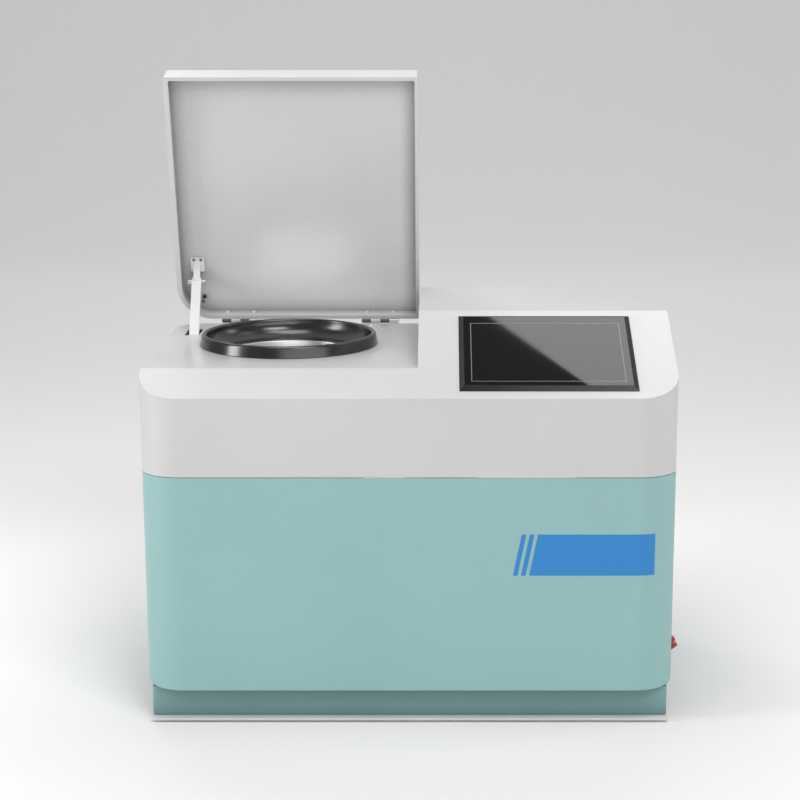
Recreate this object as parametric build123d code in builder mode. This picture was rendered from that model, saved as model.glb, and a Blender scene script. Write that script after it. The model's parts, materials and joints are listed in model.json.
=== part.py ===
from build123d import *
from math import asin, cos, pi, radians, sin, tan
import os

# Bench-top cryogenic grinding mill: a rounded sheet-metal cabinet with a grey head, a lid that
# opens over a cold grinding chamber, a sloping touch console, and a belt-driven wobble drive.
# Millimetres, +Z up, +Y to the rear, origin on the ground under the middle of the base plate.

# Cabinet outline
WIDTH = 600.0
DEPTH = 364.0
CORNER_R = 45.0
REAR_CORNER_R = 36.0
SHEET = 1.5
FRONT = -DEPTH / 2
REAR = DEPTH / 2
SIDE = WIDTH / 2

# Heights of the cabinet, from the ground up
PAD_H = 2.5
BASE_T = 3.0
PLINTH_TOP = 40.0
CABINET_TOP = 288.0
SEAM_GAP = 0.7
FACE_TOP = 377.5
DECK_TOP = 401.0
CONSOLE_TOP = 449.0
BASE_TOP = PAD_H + BASE_T
HEAD_BOTTOM = CABINET_TOP + SEAM_GAP
DECK_UNDER = DECK_TOP - SHEET

# Sloping front of the head, and the console that stands beside the lid
SLOPE = 23.75
CONSOLE_LEFT = 9.7
CONSOLE_ROUND_R = 8.0

# Lid, in its closed position relative to the hinge axis
LID_OPEN = 75.0
HINGE_OUT = 3.2
HINGE_Y = REAR + HINGE_OUT
HINGE_Z = DECK_TOP + 3.0
LID_LENGTH = 318.0
LID_THICK = 29.0
LID_RIM_W = -1.5
LID_LEFT = -SIDE
LID_RIGHT = CONSOLE_LEFT - 1.7
LID_RECESS = 15.5
LIP_END = 4.8
LIP_LEFT = 6.4
LIP_RIGHT = 4.3
LID_REAR_V = REAR - HINGE_Y
LID_FRONT_V = LID_REAR_V - LID_LENGTH
LID_TOP_W = LID_RIM_W + LID_THICK
LINER_W = LID_RIM_W + LID_RECESS

# Grinding chamber and its drive axis
CHAMBER_X = -147.0
CHAMBER_Y = 33.7
RING_R = 106.5
RING_CREST_R = 101.0
RING_H = 14.0
RING_LOW_R = 82.0
RING_LOW_Z = DECK_TOP - 9.0
DECK_HOLE_R = 100.5
BOWL_R = 80.0
BOWL_T = 1.2
BOWL_FLOOR_Z = 262.0
BOWL_CORNER = 6.0
JACKET_R = 88.0
JACKET_BOTTOM = 272.0
JACKET_TOP = 380.0
FOAM_R = 104.0
FOAM_BOTTOM = 248.0

# Wobble drive
FRAME_Z = 172.0
FRAME_T = 6.0
FRAME_TOP = FRAME_Z + FRAME_T
HOUSING_R = 26.0
HOUSING_BORE_R = 20.0
HOUSING_MID_R = 17.5
BEARING_T = 12.0
LOWER_BEARING_Z = FRAME_TOP + 2.0
UPPER_BEARING_Z = 244.0
SEAL_H = 4.0
SHAFT_R = 10.0
RUNNING_GAP = 0.05
WOBBLE_TILT = 4.0
WOBBLE_Z = 318.0
JOURNAL_R = 7.0
WOBBLE_BEARING_R = 13.0
SPINDLE_R = 6.0
TRAY_R = 64.0

# Belt drive between the motor and the drive shaft
MOTOR_X = 35.0
MOTOR_Y = CHAMBER_Y
BELT_BOTTOM = 146.0
BELT_WIDTH = 15.0
BELT_T = 2.4
TOOTH_PITCH = 5.0
SHAFT_TEETH = 30
MOTOR_TEETH = 42
SHAFT_PULLEY_R = SHAFT_TEETH * TOOTH_PITCH / (2 * pi)
MOTOR_PULLEY_R = MOTOR_TEETH * TOOTH_PITCH / (2 * pi)

# Refrigeration set
FAN_Y = 85.0
FAN_Z = 142.0
COMPRESSOR_X = 165.0
COMPRESSOR_Y = -95.0
COMPRESSOR_R = 60.0

# Lid stay
STAY_X = -274.6
STAY_PIN_V = -53.2
STAY_PIN_W = 1.0
STAY_SKEW = 4.6 / 93
STAY_PIN_R = 2.0
STAY_ARM_L = 110.0
STAY_OPEN_HEADING = 219.0
STAY_CLOSED_HEADING = 270.0

CHAMBER = Location((CHAMBER_X, CHAMBER_Y, 0))
LID_FRAME = Plane(
    origin=(0, HINGE_Y, HINGE_Z),
    x_dir=(1, 0, 0),
    z_dir=(0, sin(radians(LID_OPEN)), cos(radians(LID_OPEN))),
)
WOBBLE_FRAME = Plane(
    origin=(CHAMBER_X, CHAMBER_Y, WOBBLE_Z),
    x_dir=(cos(radians(WOBBLE_TILT)), 0, -sin(radians(WOBBLE_TILT))),
    z_dir=(sin(radians(WOBBLE_TILT)), 0, cos(radians(WOBBLE_TILT))),
)
SLOPE_FRAME = Plane(
    origin=((CONSOLE_LEFT + SIDE) / 2, FRONT, FACE_TOP),
    x_dir=(1, 0, 0),
    z_dir=(0, -sin(radians(SLOPE)), cos(radians(SLOPE))),
)


os.makedirs("parts", exist_ok=True)


def save(piece, name):
    """Label a finished piece and write it to a file of its own."""
    piece.part.label = name
    export_step(piece.part, f"parts/{name}.step")


def body_outline(inset):
    """Plan of the cabinet and the head, drawn in by inset on every side."""
    with BuildSketch() as outline:
        Rectangle(WIDTH - 2 * inset, DEPTH - 2 * inset)
        fillet(outline.vertices().group_by(Axis.Y)[-1], REAR_CORNER_R - inset)
        fillet(outline.vertices().group_by(Axis.Y)[0].group_by(Axis.X)[0], CORNER_R - inset)
        fillet(outline.vertices().group_by(Axis.Y)[0].group_by(Axis.X)[-1], CORNER_R - inset)
    return outline.sketch


def lid_point(v, w):
    """Y and Z of a point given in the closed lid's own frame, with the lid open."""
    point = LID_FRAME.from_local_coords((0, v, w))
    return point.Y, point.Z


# Base plate, the feet under it, and the plinth that carries the cabinet
BASE_HALF_X = 293.5
BASE_FRONT = FRONT + 5.0
BASE_REAR = REAR - 5.0
PLINTH_FRONT = FRONT + 15.0
PLINTH_REAR = REAR - 15.0
PLINTH_WALL = 2.0
PLINTH_FLANGE = 18.0
BASE_CORNER_R = 3.0
PLATE_EDGE = 0.5
FOOT_EDGE = 0.6
PLINTH_GAP = 0.5
FOOT_R = 16.0
FOOT_SPACING_X = 500.0
FOOT_SPACING_Y = 270.0

with BuildPart() as base_plate:
    with BuildSketch(Plane.XY.offset(PAD_H)):
        with Locations((0, (BASE_FRONT + BASE_REAR) / 2)):
            RectangleRounded(2 * BASE_HALF_X, BASE_REAR - BASE_FRONT, BASE_CORNER_R)
    extrude(amount=BASE_T)
    chamfer(base_plate.faces().sort_by(Axis.Z)[-1].edges(), PLATE_EDGE)
save(base_plate, "base_plate")

with BuildPart() as rubber_feet:
    with BuildSketch():
        with GridLocations(FOOT_SPACING_X, FOOT_SPACING_Y, 2, 2):
            Circle(FOOT_R)
        Circle(FOOT_R)
    extrude(amount=PAD_H)
    chamfer(rubber_feet.faces().group_by(Axis.Z)[0].edges(), FOOT_EDGE)
save(rubber_feet, "rubber_feet")

with BuildPart() as plinth:
    plinth_length = PLINTH_REAR - PLINTH_FRONT
    with BuildSketch(Plane.XY.offset(BASE_TOP)):
        with Locations((0, (PLINTH_FRONT + PLINTH_REAR) / 2)):
            RectangleRounded(2 * (BASE_HALF_X - PLINTH_GAP), plinth_length, BASE_CORNER_R)
            Rectangle(
                2 * (BASE_HALF_X - PLINTH_GAP - PLINTH_WALL),
                plinth_length - 2 * PLINTH_WALL,
                mode=Mode.SUBTRACT,
            )
    extrude(amount=PLINTH_TOP - BASE_TOP)
    with BuildSketch(Plane.XY.offset(PLINTH_TOP - PLINTH_WALL)):
        with Locations((0, (PLINTH_FRONT + PLINTH_REAR) / 2)):
            Rectangle(2 * (BASE_HALF_X - 2 * PLINTH_GAP), plinth_length - 2 * PLINTH_GAP)
            Rectangle(
                2 * (BASE_HALF_X - PLINTH_FLANGE),
                plinth_length - 2 * PLINTH_FLANGE,
                mode=Mode.SUBTRACT,
            )
    extrude(amount=PLINTH_WALL)
save(plinth, "plinth")

# Lower cabinet: a folded tray with louvres on both sides, a rear opening and a switch cut-out
FLOOR_T = 2.0
FLOOR_TOP = PLINTH_TOP + FLOOR_T
OPENING_W = 470.0
OPENING_BOTTOM = 60.0
OPENING_TOP = 262.0
OPENING_CORNER_R = 6.0
CABINET_EDGE = 0.8
LOUVRE_L = 62.0
LOUVRE_H = 4.0
LOUVRE_BRIDGE = 12.0
LOUVRE_ROWS = 12
LOUVRE_PITCH = 12.0
SWITCH_Y = -102.0
SWITCH_Z = 70.3
SWITCH_CUT_W = 15.0
SWITCH_CUT_H = 22.0

with BuildPart() as lower_cabinet:
    with BuildSketch(Plane.XY.offset(PLINTH_TOP)):
        add(body_outline(0))
    extrude(amount=CABINET_TOP - PLINTH_TOP)
    chamfer(lower_cabinet.faces().sort_by(Axis.Z)[0].edges(), CABINET_EDGE)
    with BuildSketch(Plane.XY.offset(FLOOR_TOP)):
        add(body_outline(SHEET))
    extrude(amount=CABINET_TOP, mode=Mode.SUBTRACT)
    with BuildSketch(Plane.XZ.offset(-REAR - 1)):
        with Locations((0, (OPENING_BOTTOM + OPENING_TOP) / 2)):
            RectangleRounded(OPENING_W, OPENING_TOP - OPENING_BOTTOM, OPENING_CORNER_R)
    extrude(amount=2 * SHEET, mode=Mode.SUBTRACT)
    with BuildSketch(Plane.YZ.offset(-SIDE - 1)):
        with Locations((FAN_Y, FAN_Z)):
            with GridLocations(LOUVRE_L + LOUVRE_BRIDGE, LOUVRE_PITCH, 2, LOUVRE_ROWS):
                SlotOverall(LOUVRE_L, LOUVRE_H)
    extrude(amount=WIDTH + 2, mode=Mode.SUBTRACT)
    with BuildSketch(Plane.YZ.offset(SIDE - SHEET - 1)):
        with Locations((SWITCH_Y, SWITCH_Z)):
            Rectangle(SWITCH_CUT_W, SWITCH_CUT_H)
    extrude(amount=2 * SHEET, mode=Mode.SUBTRACT)
save(lower_cabinet, "lower_cabinet")

# Rear service panel with the exhaust slots, and below it the inlet panel with the mains inlet's hole
PANEL_W = 500.0
PANEL_BOTTOM = 121.0
PANEL_TOP = 276.0
PANEL_SCREW_X = 480.0
PANEL_SCREW_EDGE = 8.0
PANEL_CORNER_R = 5.0
PANEL_MID_Z = (PANEL_BOTTOM + PANEL_TOP) / 2
INLET_PANEL_BOTTOM = 48.0
INLET_PANEL_TOP = 120.0
INLET_PANEL_MID_Z = (INLET_PANEL_BOTTOM + INLET_PANEL_TOP) / 2
REAR_SLOT_L = 130.0
REAR_SLOT_ROWS = 9
REAR_SLOT_COLUMNS = 3
REAR_SLOT_BRIDGE = 16.0
REAR_SLOT_RISE = -2.5
INLET_X = -190.0
INLET_Z = 84.0
INLET_CUT_W = 28.0
INLET_CUT_H = 21.0
SCREW_R = 2.0
SCREW_HEAD_R = 4.0
SCREW_HEAD_H = 2.2
SCREW_HEAD_ROUND = 1.2

PANEL_SCREW_POINTS = [
    (side * PANEL_SCREW_X / 2, z)
    for side in (-1, 1)
    for z in (
        INLET_PANEL_BOTTOM + PANEL_SCREW_EDGE,
        INLET_PANEL_TOP - PANEL_SCREW_EDGE,
        PANEL_BOTTOM + PANEL_SCREW_EDGE,
        PANEL_TOP - PANEL_SCREW_EDGE,
    )
]

with BuildPart() as rear_panel:
    with BuildSketch(Plane.XZ.offset(-REAR - SHEET)):
        with Locations((0, PANEL_MID_Z)):
            RectangleRounded(PANEL_W, PANEL_TOP - PANEL_BOTTOM, PANEL_CORNER_R)
        with Locations(*PANEL_SCREW_POINTS):
            Circle(SCREW_R, mode=Mode.SUBTRACT)
        with Locations((0, PANEL_MID_Z + REAR_SLOT_RISE)):
            with GridLocations(
                REAR_SLOT_L + REAR_SLOT_BRIDGE, LOUVRE_PITCH, REAR_SLOT_COLUMNS, REAR_SLOT_ROWS
            ):
                SlotOverall(REAR_SLOT_L, LOUVRE_H, mode=Mode.SUBTRACT)
    extrude(amount=SHEET)
save(rear_panel, "rear_panel")

with BuildPart() as inlet_panel:
    with BuildSketch(Plane.XZ.offset(-REAR - SHEET)):
        with Locations((0, INLET_PANEL_MID_Z)):
            RectangleRounded(PANEL_W, INLET_PANEL_TOP - INLET_PANEL_BOTTOM, PANEL_CORNER_R)
        with Locations(*PANEL_SCREW_POINTS):
            Circle(SCREW_R, mode=Mode.SUBTRACT)
        with Locations((INLET_X, INLET_Z)):
            Rectangle(INLET_CUT_W, INLET_CUT_H, mode=Mode.SUBTRACT)
    extrude(amount=SHEET)
save(inlet_panel, "inlet_panel")

with BuildPart() as rear_panel_screws:
    with BuildSketch(Plane.XZ.offset(-REAR - SHEET)):
        with Locations(*PANEL_SCREW_POINTS):
            Circle(SCREW_HEAD_R)
    extrude(amount=-SCREW_HEAD_H)
    fillet(rear_panel_screws.faces().group_by(Axis.Y)[-1].edges(), SCREW_HEAD_ROUND)
    with BuildSketch(Plane.XZ.offset(-REAR)):
        with Locations(*PANEL_SCREW_POINTS):
            Circle(SCREW_R)
    extrude(amount=-SHEET)
save(rear_panel_screws, "rear_panel_screws")


# Head cover: one folded shell with the deck on the left and the raised console on the right
def head_block(inset, bottom):
    """Solid of the head's outline, drawn in by inset on every side but the bottom."""
    drop = inset / cos(radians(SLOPE))
    reach = 1.1 * DEPTH
    with BuildPart() as block:
        with BuildSketch(Plane.XY.offset(bottom)):
            add(body_outline(inset))
        extrude(amount=CONSOLE_TOP - inset - bottom)
        with BuildSketch(Plane.YZ.offset(-SIDE - 1)):
            with BuildLine():
                Polyline(
                    (FRONT, FACE_TOP - drop),
                    (FRONT + reach, FACE_TOP - drop + reach * tan(radians(SLOPE))),
                    (FRONT - reach, FACE_TOP - drop + reach * tan(radians(SLOPE))),
                    (FRONT - reach, FACE_TOP - drop - reach * tan(radians(SLOPE))),
                    close=True,
                )
            make_face()
        extrude(amount=WIDTH + 2, mode=Mode.SUBTRACT)
        with BuildSketch(Plane.XY.offset(DECK_TOP - inset)):
            with Locations(((CONSOLE_LEFT + inset - SIDE - 1) / 2, 0)):
                Rectangle(CONSOLE_LEFT + inset + SIDE + 1, DEPTH + 2)
        extrude(amount=CONSOLE_TOP, mode=Mode.SUBTRACT)
        round_r = CONSOLE_ROUND_R - inset
        top = CONSOLE_TOP - inset
        rear = REAR - inset
        with BuildSketch(Plane.YZ.offset(-SIDE - 1)):
            with Locations((rear, top)):
                Rectangle(2 * round_r, 2 * round_r)
            with Locations((rear - round_r, top - round_r)):
                Circle(round_r, mode=Mode.SUBTRACT)
        extrude(amount=WIDTH + 2, mode=Mode.SUBTRACT)
    return block.part


TOUCH_MID = 89.0
TOUCH_W = 198.0
TOUCH_H = 151.0
TOUCH_CUT_W = 182.0
TOUCH_CUT_H = 132.0
STAY_SLOT_X = -272.2
STAY_SLOT_W = 17.8
STAY_SLOT_FRONT = 92.0
STAY_SLOT_REAR = 141.0
DECK_SCREW_Y = 161.0
DECK_SCREW_X = 11.0
DECK_SCREW_L = 6.0
HINGE_CENTRES = (-221.6, -42.4)
HINGE_LENGTH = 46.6
HINGE_LEAF_H = 22.0
HINGE_SCREW_X = 33.2
HINGE_SCREW_Z = DECK_TOP - 13.0
SMALL_SCREW_R = 1.6
SMALL_HEAD_R = 2.7
SMALL_HEAD_H = 1.6

with BuildPart() as head_cover:
    add(head_block(0, HEAD_BOTTOM))
    add(head_block(SHEET, HEAD_BOTTOM - 1), mode=Mode.SUBTRACT)
    with BuildSketch(Plane.XY.offset(DECK_UNDER - 1)):
        with Locations((CHAMBER_X, CHAMBER_Y)):
            Circle(DECK_HOLE_R)
        with Locations((STAY_SLOT_X, (STAY_SLOT_FRONT + STAY_SLOT_REAR) / 2)):
            RectangleRounded(STAY_SLOT_W, STAY_SLOT_REAR - STAY_SLOT_FRONT, 2.0)
        for hinge_x in HINGE_CENTRES:
            with Locations((hinge_x - DECK_SCREW_X, DECK_SCREW_Y)):
                Circle(SMALL_SCREW_R)
    extrude(amount=SHEET + 2, mode=Mode.SUBTRACT)
    with BuildSketch(SLOPE_FRAME.offset(1)):
        with Locations((0, TOUCH_MID)):
            Rectangle(TOUCH_CUT_W, TOUCH_CUT_H)
    extrude(amount=-SHEET - 2, mode=Mode.SUBTRACT)
    with BuildSketch(Plane.XZ.offset(-REAR - 1)):
        for hinge_x in HINGE_CENTRES:
            with Locations((hinge_x, HINGE_SCREW_Z)):
                with GridLocations(HINGE_SCREW_X, 1, 2, 1):
                    Circle(SMALL_SCREW_R)
    extrude(amount=SHEET + 2, mode=Mode.SUBTRACT)
save(head_cover, "head_cover")

# Printed film on the front: a slanted block with two slanted bars beside it
LABEL_BOTTOM = 176.0
LABEL_TOP = 223.5
LABEL_RIGHT = 274.5
LABEL_LEFT = 133.8
LABEL_LEAN = 9.5
LABEL_T = 0.3
BAR_W = 5.0
BAR_STEP = 9.0

with BuildPart() as front_label:
    with BuildSketch(Plane.XZ.offset(-FRONT)):
        with BuildLine():
            Polyline(
                (LABEL_LEFT, LABEL_BOTTOM),
                (LABEL_RIGHT, LABEL_BOTTOM),
                (LABEL_RIGHT, LABEL_TOP),
                (LABEL_LEFT + LABEL_LEAN, LABEL_TOP),
                close=True,
            )
        make_face()
        for step in (1, 2):
            with BuildLine():
                bar_left = LABEL_LEFT - step * BAR_STEP
                Polyline(
                    (bar_left, LABEL_BOTTOM),
                    (bar_left + BAR_W, LABEL_BOTTOM),
                    (bar_left + BAR_W + LABEL_LEAN, LABEL_TOP),
                    (bar_left + LABEL_LEAN, LABEL_TOP),
                    close=True,
                )
            make_face()
    extrude(amount=LABEL_T)
save(front_label, "front_label")

# Lid: folded shell with a turned-in rim, inner tray, foam core
LID_FRONT_R = 3.0
LID_SIDE_R = 2.0
FOLD_MIN_R = 0.6


def lid_outline(left, right, front, rear, corner, small):
    """Rectangle in the lid's plane whose rear left corner follows the cabinet's corner."""
    with BuildSketch() as outline:
        with Locations(((left + right) / 2, (front + rear) / 2)):
            Rectangle(right - left, rear - front)
        rear_left = outline.vertices().group_by(Axis.Y)[-1].sort_by(Axis.X)[0]
        fillet(rear_left, corner)
        fillet(outline.vertices().group_by(Axis.X)[-1], small)
        fillet(outline.vertices().group_by(Axis.X)[0].sort_by(Axis.Y)[0], small)
    return outline.sketch


def lid_inset(inset):
    """Outline of the lid, drawn in by inset on every side."""
    return lid_outline(
        LID_LEFT + inset,
        LID_RIGHT - inset,
        LID_FRONT_V + inset,
        LID_REAR_V - inset,
        CORNER_R - inset,
        max(LID_FRONT_R - inset, FOLD_MIN_R),
    )


def recess_outline(grow):
    """Outline of the lid's inner recess, made larger by grow on every side."""
    return lid_outline(
        LID_LEFT + LIP_LEFT - grow,
        LID_RIGHT - LIP_RIGHT + grow,
        LID_FRONT_V + LIP_END - grow,
        LID_REAR_V - LIP_END + grow,
        CORNER_R - LIP_LEFT + grow,
        LID_SIDE_R,
    )


LINER_T = 1.2
LID_SCREW_W = 9.4
LID_SCREW_POINTS = [
    (hinge_x + side * HINGE_SCREW_X / 2, LID_SCREW_W)
    for hinge_x in HINGE_CENTRES
    for side in (-1, 1)
]
LID_REAR_FRAME = Plane(
    origin=LID_FRAME.origin,
    x_dir=(1, 0, 0),
    z_dir=-LID_FRAME.y_dir,
)

with BuildPart() as lid_shell:
    with BuildSketch(LID_FRAME.offset(LID_RIM_W)):
        add(lid_inset(0))
    extrude(amount=LID_THICK)
    with BuildSketch(LID_FRAME.offset(LID_RIM_W + SHEET)):
        add(lid_inset(SHEET))
    extrude(amount=LID_THICK - 2 * SHEET, mode=Mode.SUBTRACT)
    with BuildSketch(LID_FRAME.offset(LID_RIM_W - 1)):
        add(recess_outline(0))
    extrude(amount=SHEET + 1, mode=Mode.SUBTRACT)
    with BuildSketch(LID_REAR_FRAME.offset(-LID_REAR_V - 1)):
        with Locations(*LID_SCREW_POINTS):
            Circle(SMALL_SCREW_R)
    extrude(amount=SHEET + 2, mode=Mode.SUBTRACT)
save(lid_shell, "lid_shell")

with BuildPart() as lid_liner:
    with BuildSketch(LID_FRAME.offset(LID_RIM_W + SHEET)):
        add(recess_outline(LINER_T))
    extrude(amount=LID_RECESS - SHEET + LINER_T)
    with BuildSketch(LID_FRAME.offset(LID_RIM_W + SHEET - 1)):
        add(recess_outline(0))
    extrude(amount=LID_RECESS - SHEET + 1, mode=Mode.SUBTRACT)
    with BuildSketch(LID_REAR_FRAME.offset(-LID_REAR_V + LIP_END - LINER_T - 1)):
        with Locations(*LID_SCREW_POINTS):
            Circle(SMALL_SCREW_R)
    extrude(amount=LINER_T + 2, mode=Mode.SUBTRACT)
save(lid_liner, "lid_liner")

with BuildPart() as lid_foam:
    with BuildSketch(LID_FRAME.offset(LINER_W + LINER_T)):
        add(lid_inset(SHEET))
    extrude(amount=LID_TOP_W - SHEET - LINER_W - LINER_T)
save(lid_foam, "lid_foam")

# Hinges: two butt hinges on the rear faces, knuckles in turn on the lid and on the cabinet
LEAF_T = 1.2
LEAF_START = 3.6
LEAF_LAP = 0.5
LEAF_SCREW_L = 4.0
HEAD_ROUND_SHARE = 0.6
KNUCKLE_COUNT = 4
KNUCKLE_GAP = 0.3
KNUCKLE_R = 2.9
HINGE_PIN_R = 1.5
KNUCKLE_L = HINGE_LENGTH / KNUCKLE_COUNT
BASE_LEAF_FRAME = Plane(origin=(0, HINGE_Y, HINGE_Z), x_dir=(1, 0, 0), z_dir=(0, 1, 0))
LID_LEAF_FRAME = Plane(origin=LID_FRAME.origin, x_dir=(-1, 0, 0), z_dir=LID_FRAME.y_dir)


def knuckle_middles(first):
    """X of every second knuckle of both hinges, counted from first."""
    return [
        hinge_x + (index + 0.5 - KNUCKLE_COUNT / 2) * KNUCKLE_L
        for hinge_x in HINGE_CENTRES
        for index in range(first, KNUCKLE_COUNT, 2)
    ]


def hinge_leaves(frame, side, first, screw_distance):
    """Leaves and knuckles on one side of the pin; frame's Z points away from the leaf's wall."""
    with BuildPart() as leaves:
        with BuildSketch(frame.offset(-HINGE_OUT)):
            for hinge_x in HINGE_CENTRES:
                with Locations((side * hinge_x, LEAF_START + HINGE_LEAF_H / 2)):
                    RectangleRounded(HINGE_LENGTH, HINGE_LEAF_H, 1.0)
                with Locations((side * hinge_x, screw_distance)):
                    with GridLocations(HINGE_SCREW_X, 1, 2, 1):
                        Circle(SMALL_SCREW_R, mode=Mode.SUBTRACT)
        extrude(amount=LEAF_T)
        with BuildSketch(frame.offset(-KNUCKLE_R)):
            for middle in knuckle_middles(first):
                with Locations((side * middle, LEAF_START / 2)):
                    Rectangle(KNUCKLE_L - KNUCKLE_GAP, LEAF_START + 2 * LEAF_LAP)
        extrude(amount=LEAF_T)
        for middle in knuckle_middles(first):
            with BuildSketch(Plane.YZ.offset(middle - (KNUCKLE_L - KNUCKLE_GAP) / 2)):
                with Locations((HINGE_Y, HINGE_Z)):
                    Circle(KNUCKLE_R)
            extrude(amount=KNUCKLE_L - KNUCKLE_GAP)
        with BuildSketch(Plane.YZ.offset(-SIDE)):
            with Locations((HINGE_Y, HINGE_Z)):
                Circle(HINGE_PIN_R + RUNNING_GAP)
        extrude(amount=WIDTH, mode=Mode.SUBTRACT)
    return leaves.part


with BuildPart() as hinge_base_leaves:
    add(hinge_leaves(BASE_LEAF_FRAME, 1, 1, HINGE_Z - HINGE_SCREW_Z))
save(hinge_base_leaves, "hinge_base_leaves")

with BuildPart() as hinge_lid_leaves:
    add(hinge_leaves(LID_LEAF_FRAME, -1, 0, LID_SCREW_W))
save(hinge_lid_leaves, "hinge_lid_leaves")

with BuildPart() as hinge_pins:
    for hinge_x in HINGE_CENTRES:
        with BuildSketch(Plane.YZ.offset(hinge_x - HINGE_LENGTH / 2 - 1)):
            with Locations((HINGE_Y, HINGE_Z)):
                Circle(HINGE_PIN_R)
        extrude(amount=HINGE_LENGTH + 2)
save(hinge_pins, "hinge_pins")


def pan_screws(frame, places, shank, radius, head_radius, head_height):
    """Pan-head screws at places on frame: heads above it, shanks below it."""
    with BuildPart() as screws:
        with BuildSketch(frame):
            with Locations(*places):
                Circle(head_radius)
        extrude(amount=head_height)
        top_edges = [
            edge
            for edge in screws.edges().filter_by(GeomType.CIRCLE)
            if abs(frame.to_local_coords(edge.center()).Z - head_height) < 0.01
        ]
        fillet(top_edges, head_height * HEAD_ROUND_SHARE)
        with BuildSketch(frame):
            with Locations(*places):
                Circle(radius)
        extrude(amount=-shank)
    return screws.part


BASE_SCREW_POINTS = [
    (hinge_x + side * HINGE_SCREW_X / 2, HINGE_SCREW_Z)
    for hinge_x in HINGE_CENTRES
    for side in (-1, 1)
]
REAR_FACE = Plane(origin=(0, REAR, 0), x_dir=(-1, 0, 0), z_dir=(0, 1, 0))
DECK_SCREW_POINTS = [(hinge_x - DECK_SCREW_X, DECK_SCREW_Y) for hinge_x in HINGE_CENTRES]

with BuildPart() as hinge_base_screws:
    add(
        pan_screws(
            REAR_FACE.offset(LEAF_T),
            [(-x, z) for x, z in BASE_SCREW_POINTS],
            LEAF_T + LEAF_SCREW_L,
            SMALL_SCREW_R,
            SMALL_HEAD_R,
            SMALL_HEAD_H,
        )
    )
    add(
        pan_screws(
            Plane.XY.offset(DECK_TOP),
            DECK_SCREW_POINTS,
            DECK_SCREW_L,
            SMALL_SCREW_R,
            SMALL_HEAD_R,
            SMALL_HEAD_H,
        )
    )
save(hinge_base_screws, "hinge_base_screws")

with BuildPart() as hinge_lid_screws:
    add(
        pan_screws(
            LID_REAR_FRAME.offset(-LID_REAR_V + LIP_END),
            LID_SCREW_POINTS,
            LIP_END + LEAF_T,
            SMALL_SCREW_R,
            SMALL_HEAD_R,
            SMALL_HEAD_H,
        )
    )
save(hinge_lid_screws, "hinge_lid_screws")

# Lid stay: bracket and pin on the lid, a channel-section arm through the deck slot, a guide below
STAY_W = 11.8
STAY_SHEET = 1.5
STAY_FRONT = 5.0
STAY_BACK = 3.5
STAY_WEB_START = 2.8
STAY_EYE_R = 3.3
STAY_HEAD_R = 3.2
STAY_PIN_L = 21.5
BRACKET_L = 19.0
BRACKET_W = 17.5
BRACKET_T = 1.5
BRACKET_CORNER_R = 1.5
LUG_FOOT_FRONT = 4.0
LUG_FOOT_REAR = 9.0
LUG_FLARE = 40.0
PIN_HEAD_GAP = 0.6
BRACKET_X = -273.8
BRACKET_V = -72.3
LUG_W = 8.2
BRACKET_SCREW_R = 1.2
BRACKET_HEAD_R = 2.0
BRACKET_HEAD_H = 1.0
BRACKET_SCREWS = [(BRACKET_X + side * 4.5, BRACKET_V - 6.7) for side in (-1, 1)]
MAGNET_SCREW = (-269.6, -21.2)
MAGNET_X = -267.5
MAGNET_V = -28.2
MAGNET_W = 4.2
MAGNET_H = 3.0
ROLLER_R = 5.5
ROLLER_T = 6.0
ROLLER_CLEAR = 0.7
ROLLER_LEFT = -285.5
GUIDE_T = 2.5
GUIDE_LEFT = -284.0
GUIDE_FLANGE = 12.0
GUIDE_STEPS = 6
GUIDE_MARGIN = 12.0


def stay_heading(opened):
    """Direction of the stay arm in the YZ plane, in degrees, with the lid opened by this much."""
    return STAY_CLOSED_HEADING + (STAY_OPEN_HEADING - STAY_CLOSED_HEADING) * opened / LID_OPEN


def stay_pin_point(opened):
    """Y and Z of the stay's upper pin with the lid opened by this many degrees."""
    turn = radians(opened)
    y = HINGE_Y + STAY_PIN_V * cos(turn) + STAY_PIN_W * sin(turn)
    z = HINGE_Z - STAY_PIN_V * sin(turn) + STAY_PIN_W * cos(turn)
    return y, z


def stay_roller_point(opened):
    """Y and Z of the roller's axis with the lid opened by this many degrees."""
    heading = radians(stay_heading(opened))
    y, z = stay_pin_point(opened)
    return y + STAY_ARM_L * cos(heading), z + STAY_ARM_L * sin(heading)


PIN_Y, PIN_Z = stay_pin_point(LID_OPEN)
OPEN_HEADING = radians(STAY_OPEN_HEADING)
STAY_SIDE = Plane(
    origin=(STAY_X, PIN_Y, PIN_Z),
    x_dir=(0, cos(OPEN_HEADING), sin(OPEN_HEADING)),
    z_dir=(1, 0, 0),
)
STAY_FACE = Plane(
    origin=(STAY_X, PIN_Y, PIN_Z),
    x_dir=(STAY_SKEW, cos(OPEN_HEADING), sin(OPEN_HEADING)),
    z_dir=(0, sin(OPEN_HEADING), -cos(OPEN_HEADING)),
)
LID_SIDE = Plane(origin=LID_FRAME.origin, x_dir=LID_FRAME.y_dir, z_dir=(1, 0, 0))

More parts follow.
